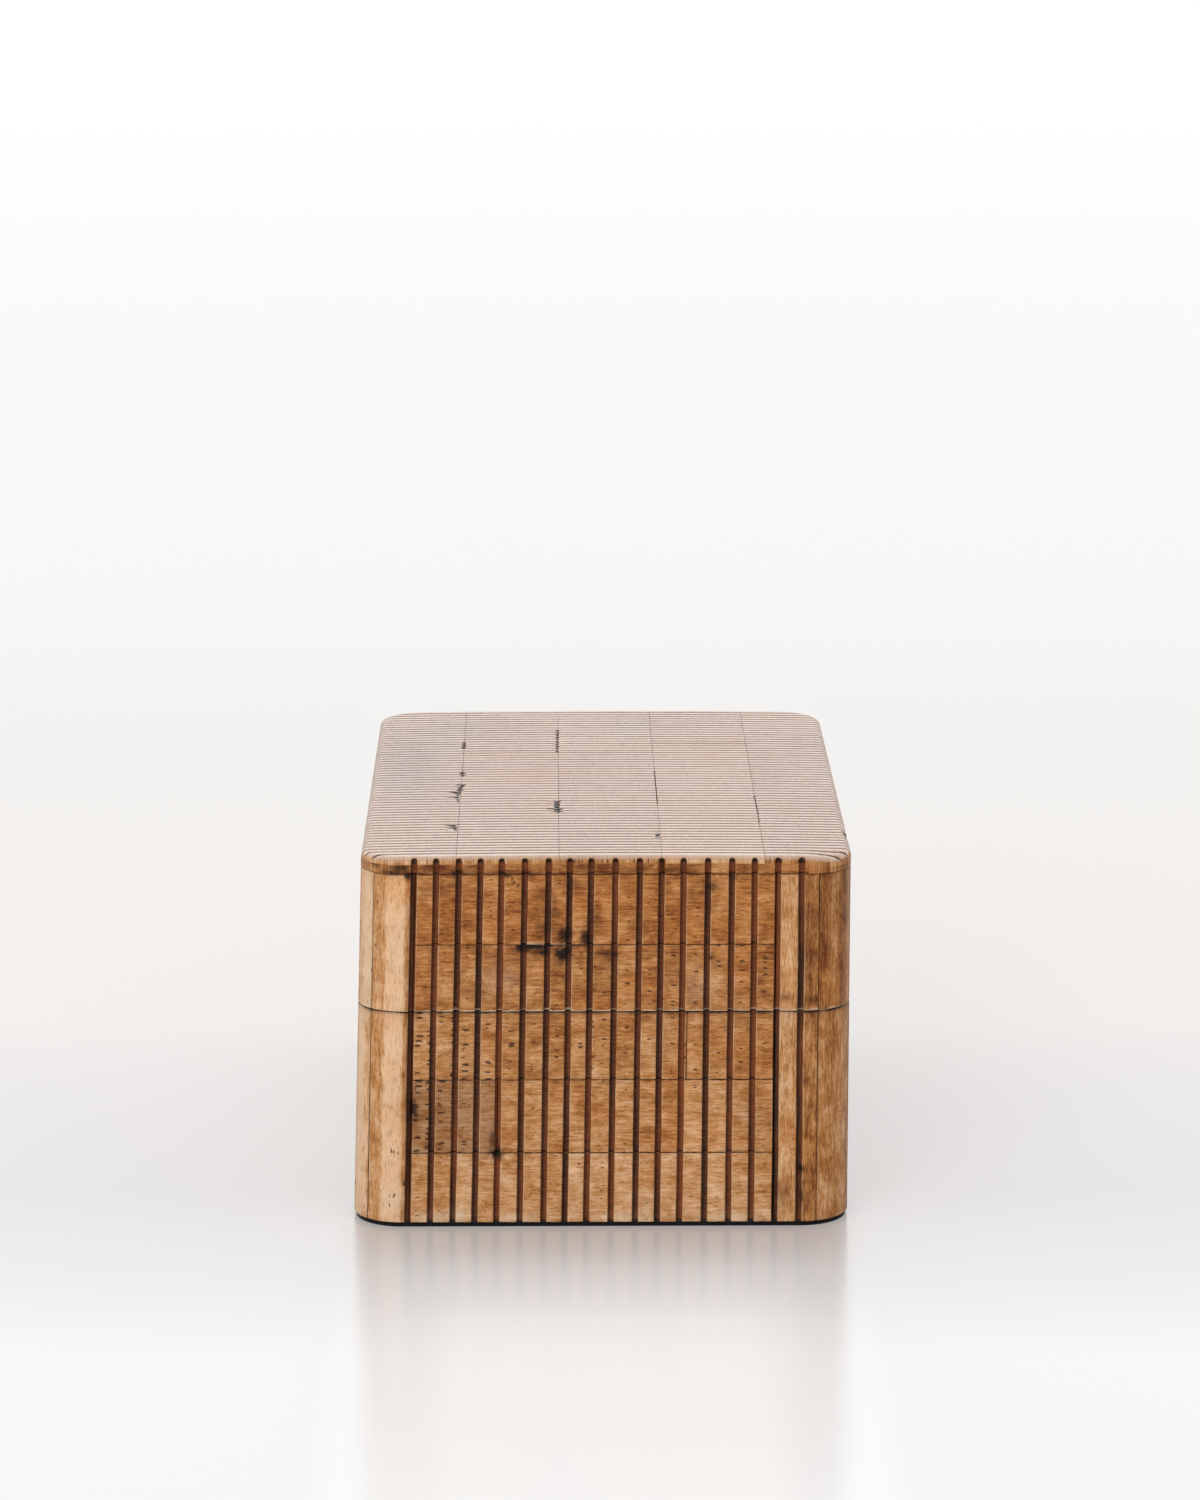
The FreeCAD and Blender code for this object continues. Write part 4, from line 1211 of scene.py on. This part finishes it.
def floor_material():
    """The floor's tones by distance, with a painted brown reflection and shade close to the box's front
    end, and painted light ahead of it.
    """
    g = Graph(bpy.data.materials.new("pale_floor"))
    axes = g.add("ShaderNodeSeparateXYZ", {0: g.places()}).outputs
    y = axes["Y"]
    across = g.math("ABSOLUTE", axes["X"])
    low, high = FLOOR_TONES[0][0], FLOOR_TONES[-1][0]
    stops = [((place - low) / (high - low), srgb(*tone)) for place, tone in FLOOR_TONES]
    tone = g.ramp(g.range(y, low, high), stops)
    # Painted reflection and shade: a darker brownish patch just in front of and under the box's front end,
    # for the box's reflection and contact shadow on the floor.
    near = g.times(g.range(y, -0.125, -0.095), g.range(y, -0.08, -0.07, 1.0, 0.0))
    near = g.times(near, g.range(across, 0.057, 0.069, 1.0, 0.0))
    tone = g.mix(near, tone, g.tinted(tone, (0.88, 0.83, 0.8, 1.0)))
    # Painted light: extra camera-only glow on the floor ahead of the box's front end, fading the box's
    # reflection and shadow there.
    painted_glow_ahead = g.times(g.range(y, -0.165, -0.108, 0.24, 0.0), g.range(y, -0.42, -0.29))
    strength = g.math("ADD", g.times(painted_glow_ahead, g.range(across, 0.035, 0.068, 1.0, 0.0)), FLOOR_GLOW)
    seen = g.add("ShaderNodeLightPath").outputs["Is Camera Ray"]
    return g.shaded({
        "Base Color": g.tinted(tone, (0.62, 0.62, 0.62, 1.0)), "Emission Color": tone,
        "Emission Strength": g.times(seen, strength), "Roughness": 0.2})


def floor_piece():
    work = bmesh.new()
    bmesh.ops.create_grid(work, x_segments=8, y_segments=8, size=FLOOR_HALF)
    mesh = bpy.data.meshes.new("floor")
    work.to_mesh(mesh)
    work.free()
    mesh.materials.append(floor_material())
    linked("floor", mesh)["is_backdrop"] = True


KEY_PLACE = Vector((-0.95, -1.9, 1.25))
KEY_TARGET = Vector((0, 0, 0.05))
KEY_SIZE = 1.1
KEY_RADIANCE = 4.2
AMBIENT = 0.78
MIRRORED_DARK = 0.12
MIRRORED_BRIGHT = 1.25


def key_lamp():
    lamp = bpy.data.lights.new("key", "AREA")
    lamp.shape = "SQUARE"
    lamp.size = KEY_SIZE
    lamp.energy = KEY_RADIANCE * math.pi * KEY_SIZE * KEY_SIZE
    piece = linked("key", lamp)
    piece.location = KEY_PLACE
    piece.rotation_euler = (KEY_TARGET - KEY_PLACE).to_track_quat("-Z", "Y").to_euler()
    piece.visible_camera = False


def studio():
    """An even light from all round; mirrored light is bright from behind and above only."""
    g = Graph(bpy.data.worlds.new("studio"))
    bpy.context.scene.world = g.owner
    path = g.add("ShaderNodeLightPath").outputs
    around = g.add("ShaderNodeTexCoord").outputs["Generated"]
    axes = g.add("ShaderNodeSeparateXYZ", {0: around}).outputs
    rearward = g.math("ADD", g.times(axes["Y"], 0.8), axes["Z"])
    mirrored = g.range(rearward, 0.1, 0.8, MIRRORED_DARK, MIRRORED_BRIGHT, "SMOOTHSTEP")
    mirrored = g.times(mirrored, g.range(axes["Z"], 0.2, 0.26, 1.0, 1.35, "SMOOTHSTEP"))
    sharp = g.math("MAXIMUM", path["Is Glossy Ray"], path["Is Transmission Ray"])
    strength = g.range(sharp, 0.0, 1.0, AMBIENT, mirrored, "SMOOTHSTEP")
    strength = g.range(path["Is Camera Ray"], 0.0, 1.0, strength, 1.0, "SMOOTHSTEP")
    background = g.tree.nodes["Background"].inputs
    g.set(background["Strength"], strength)
    background["Color"].default_value = (1.0, 1.0, 1.0, 1.0)


# Camera at the photograph's viewing angle

CAMERA_PLACE = (-0.01261, -1.35244, 0.40895)
CAMERA_PITCH = 12.624
CAMERA_YAW = 0.558
FOCAL_PIXELS = 5118.8
FRAME_PIXELS = 1500
SENSOR = 36.0


def camera():
    data = bpy.data.cameras.new("camera")
    data.sensor_fit = "AUTO"
    data.sensor_width = SENSOR
    data.lens = FOCAL_PIXELS / FRAME_PIXELS * SENSOR
    data.clip_end = 50
    piece = linked("camera", data)
    piece.location = CAMERA_PLACE
    piece.rotation_euler = (math.radians(90 - CAMERA_PITCH), 0, math.radians(-CAMERA_YAW))
    bpy.context.scene.camera = piece


floor_piece()
key_lamp()
studio()
camera()
bpy.context.scene.view_settings.view_transform = "Standard"

low_corner, high_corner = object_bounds()
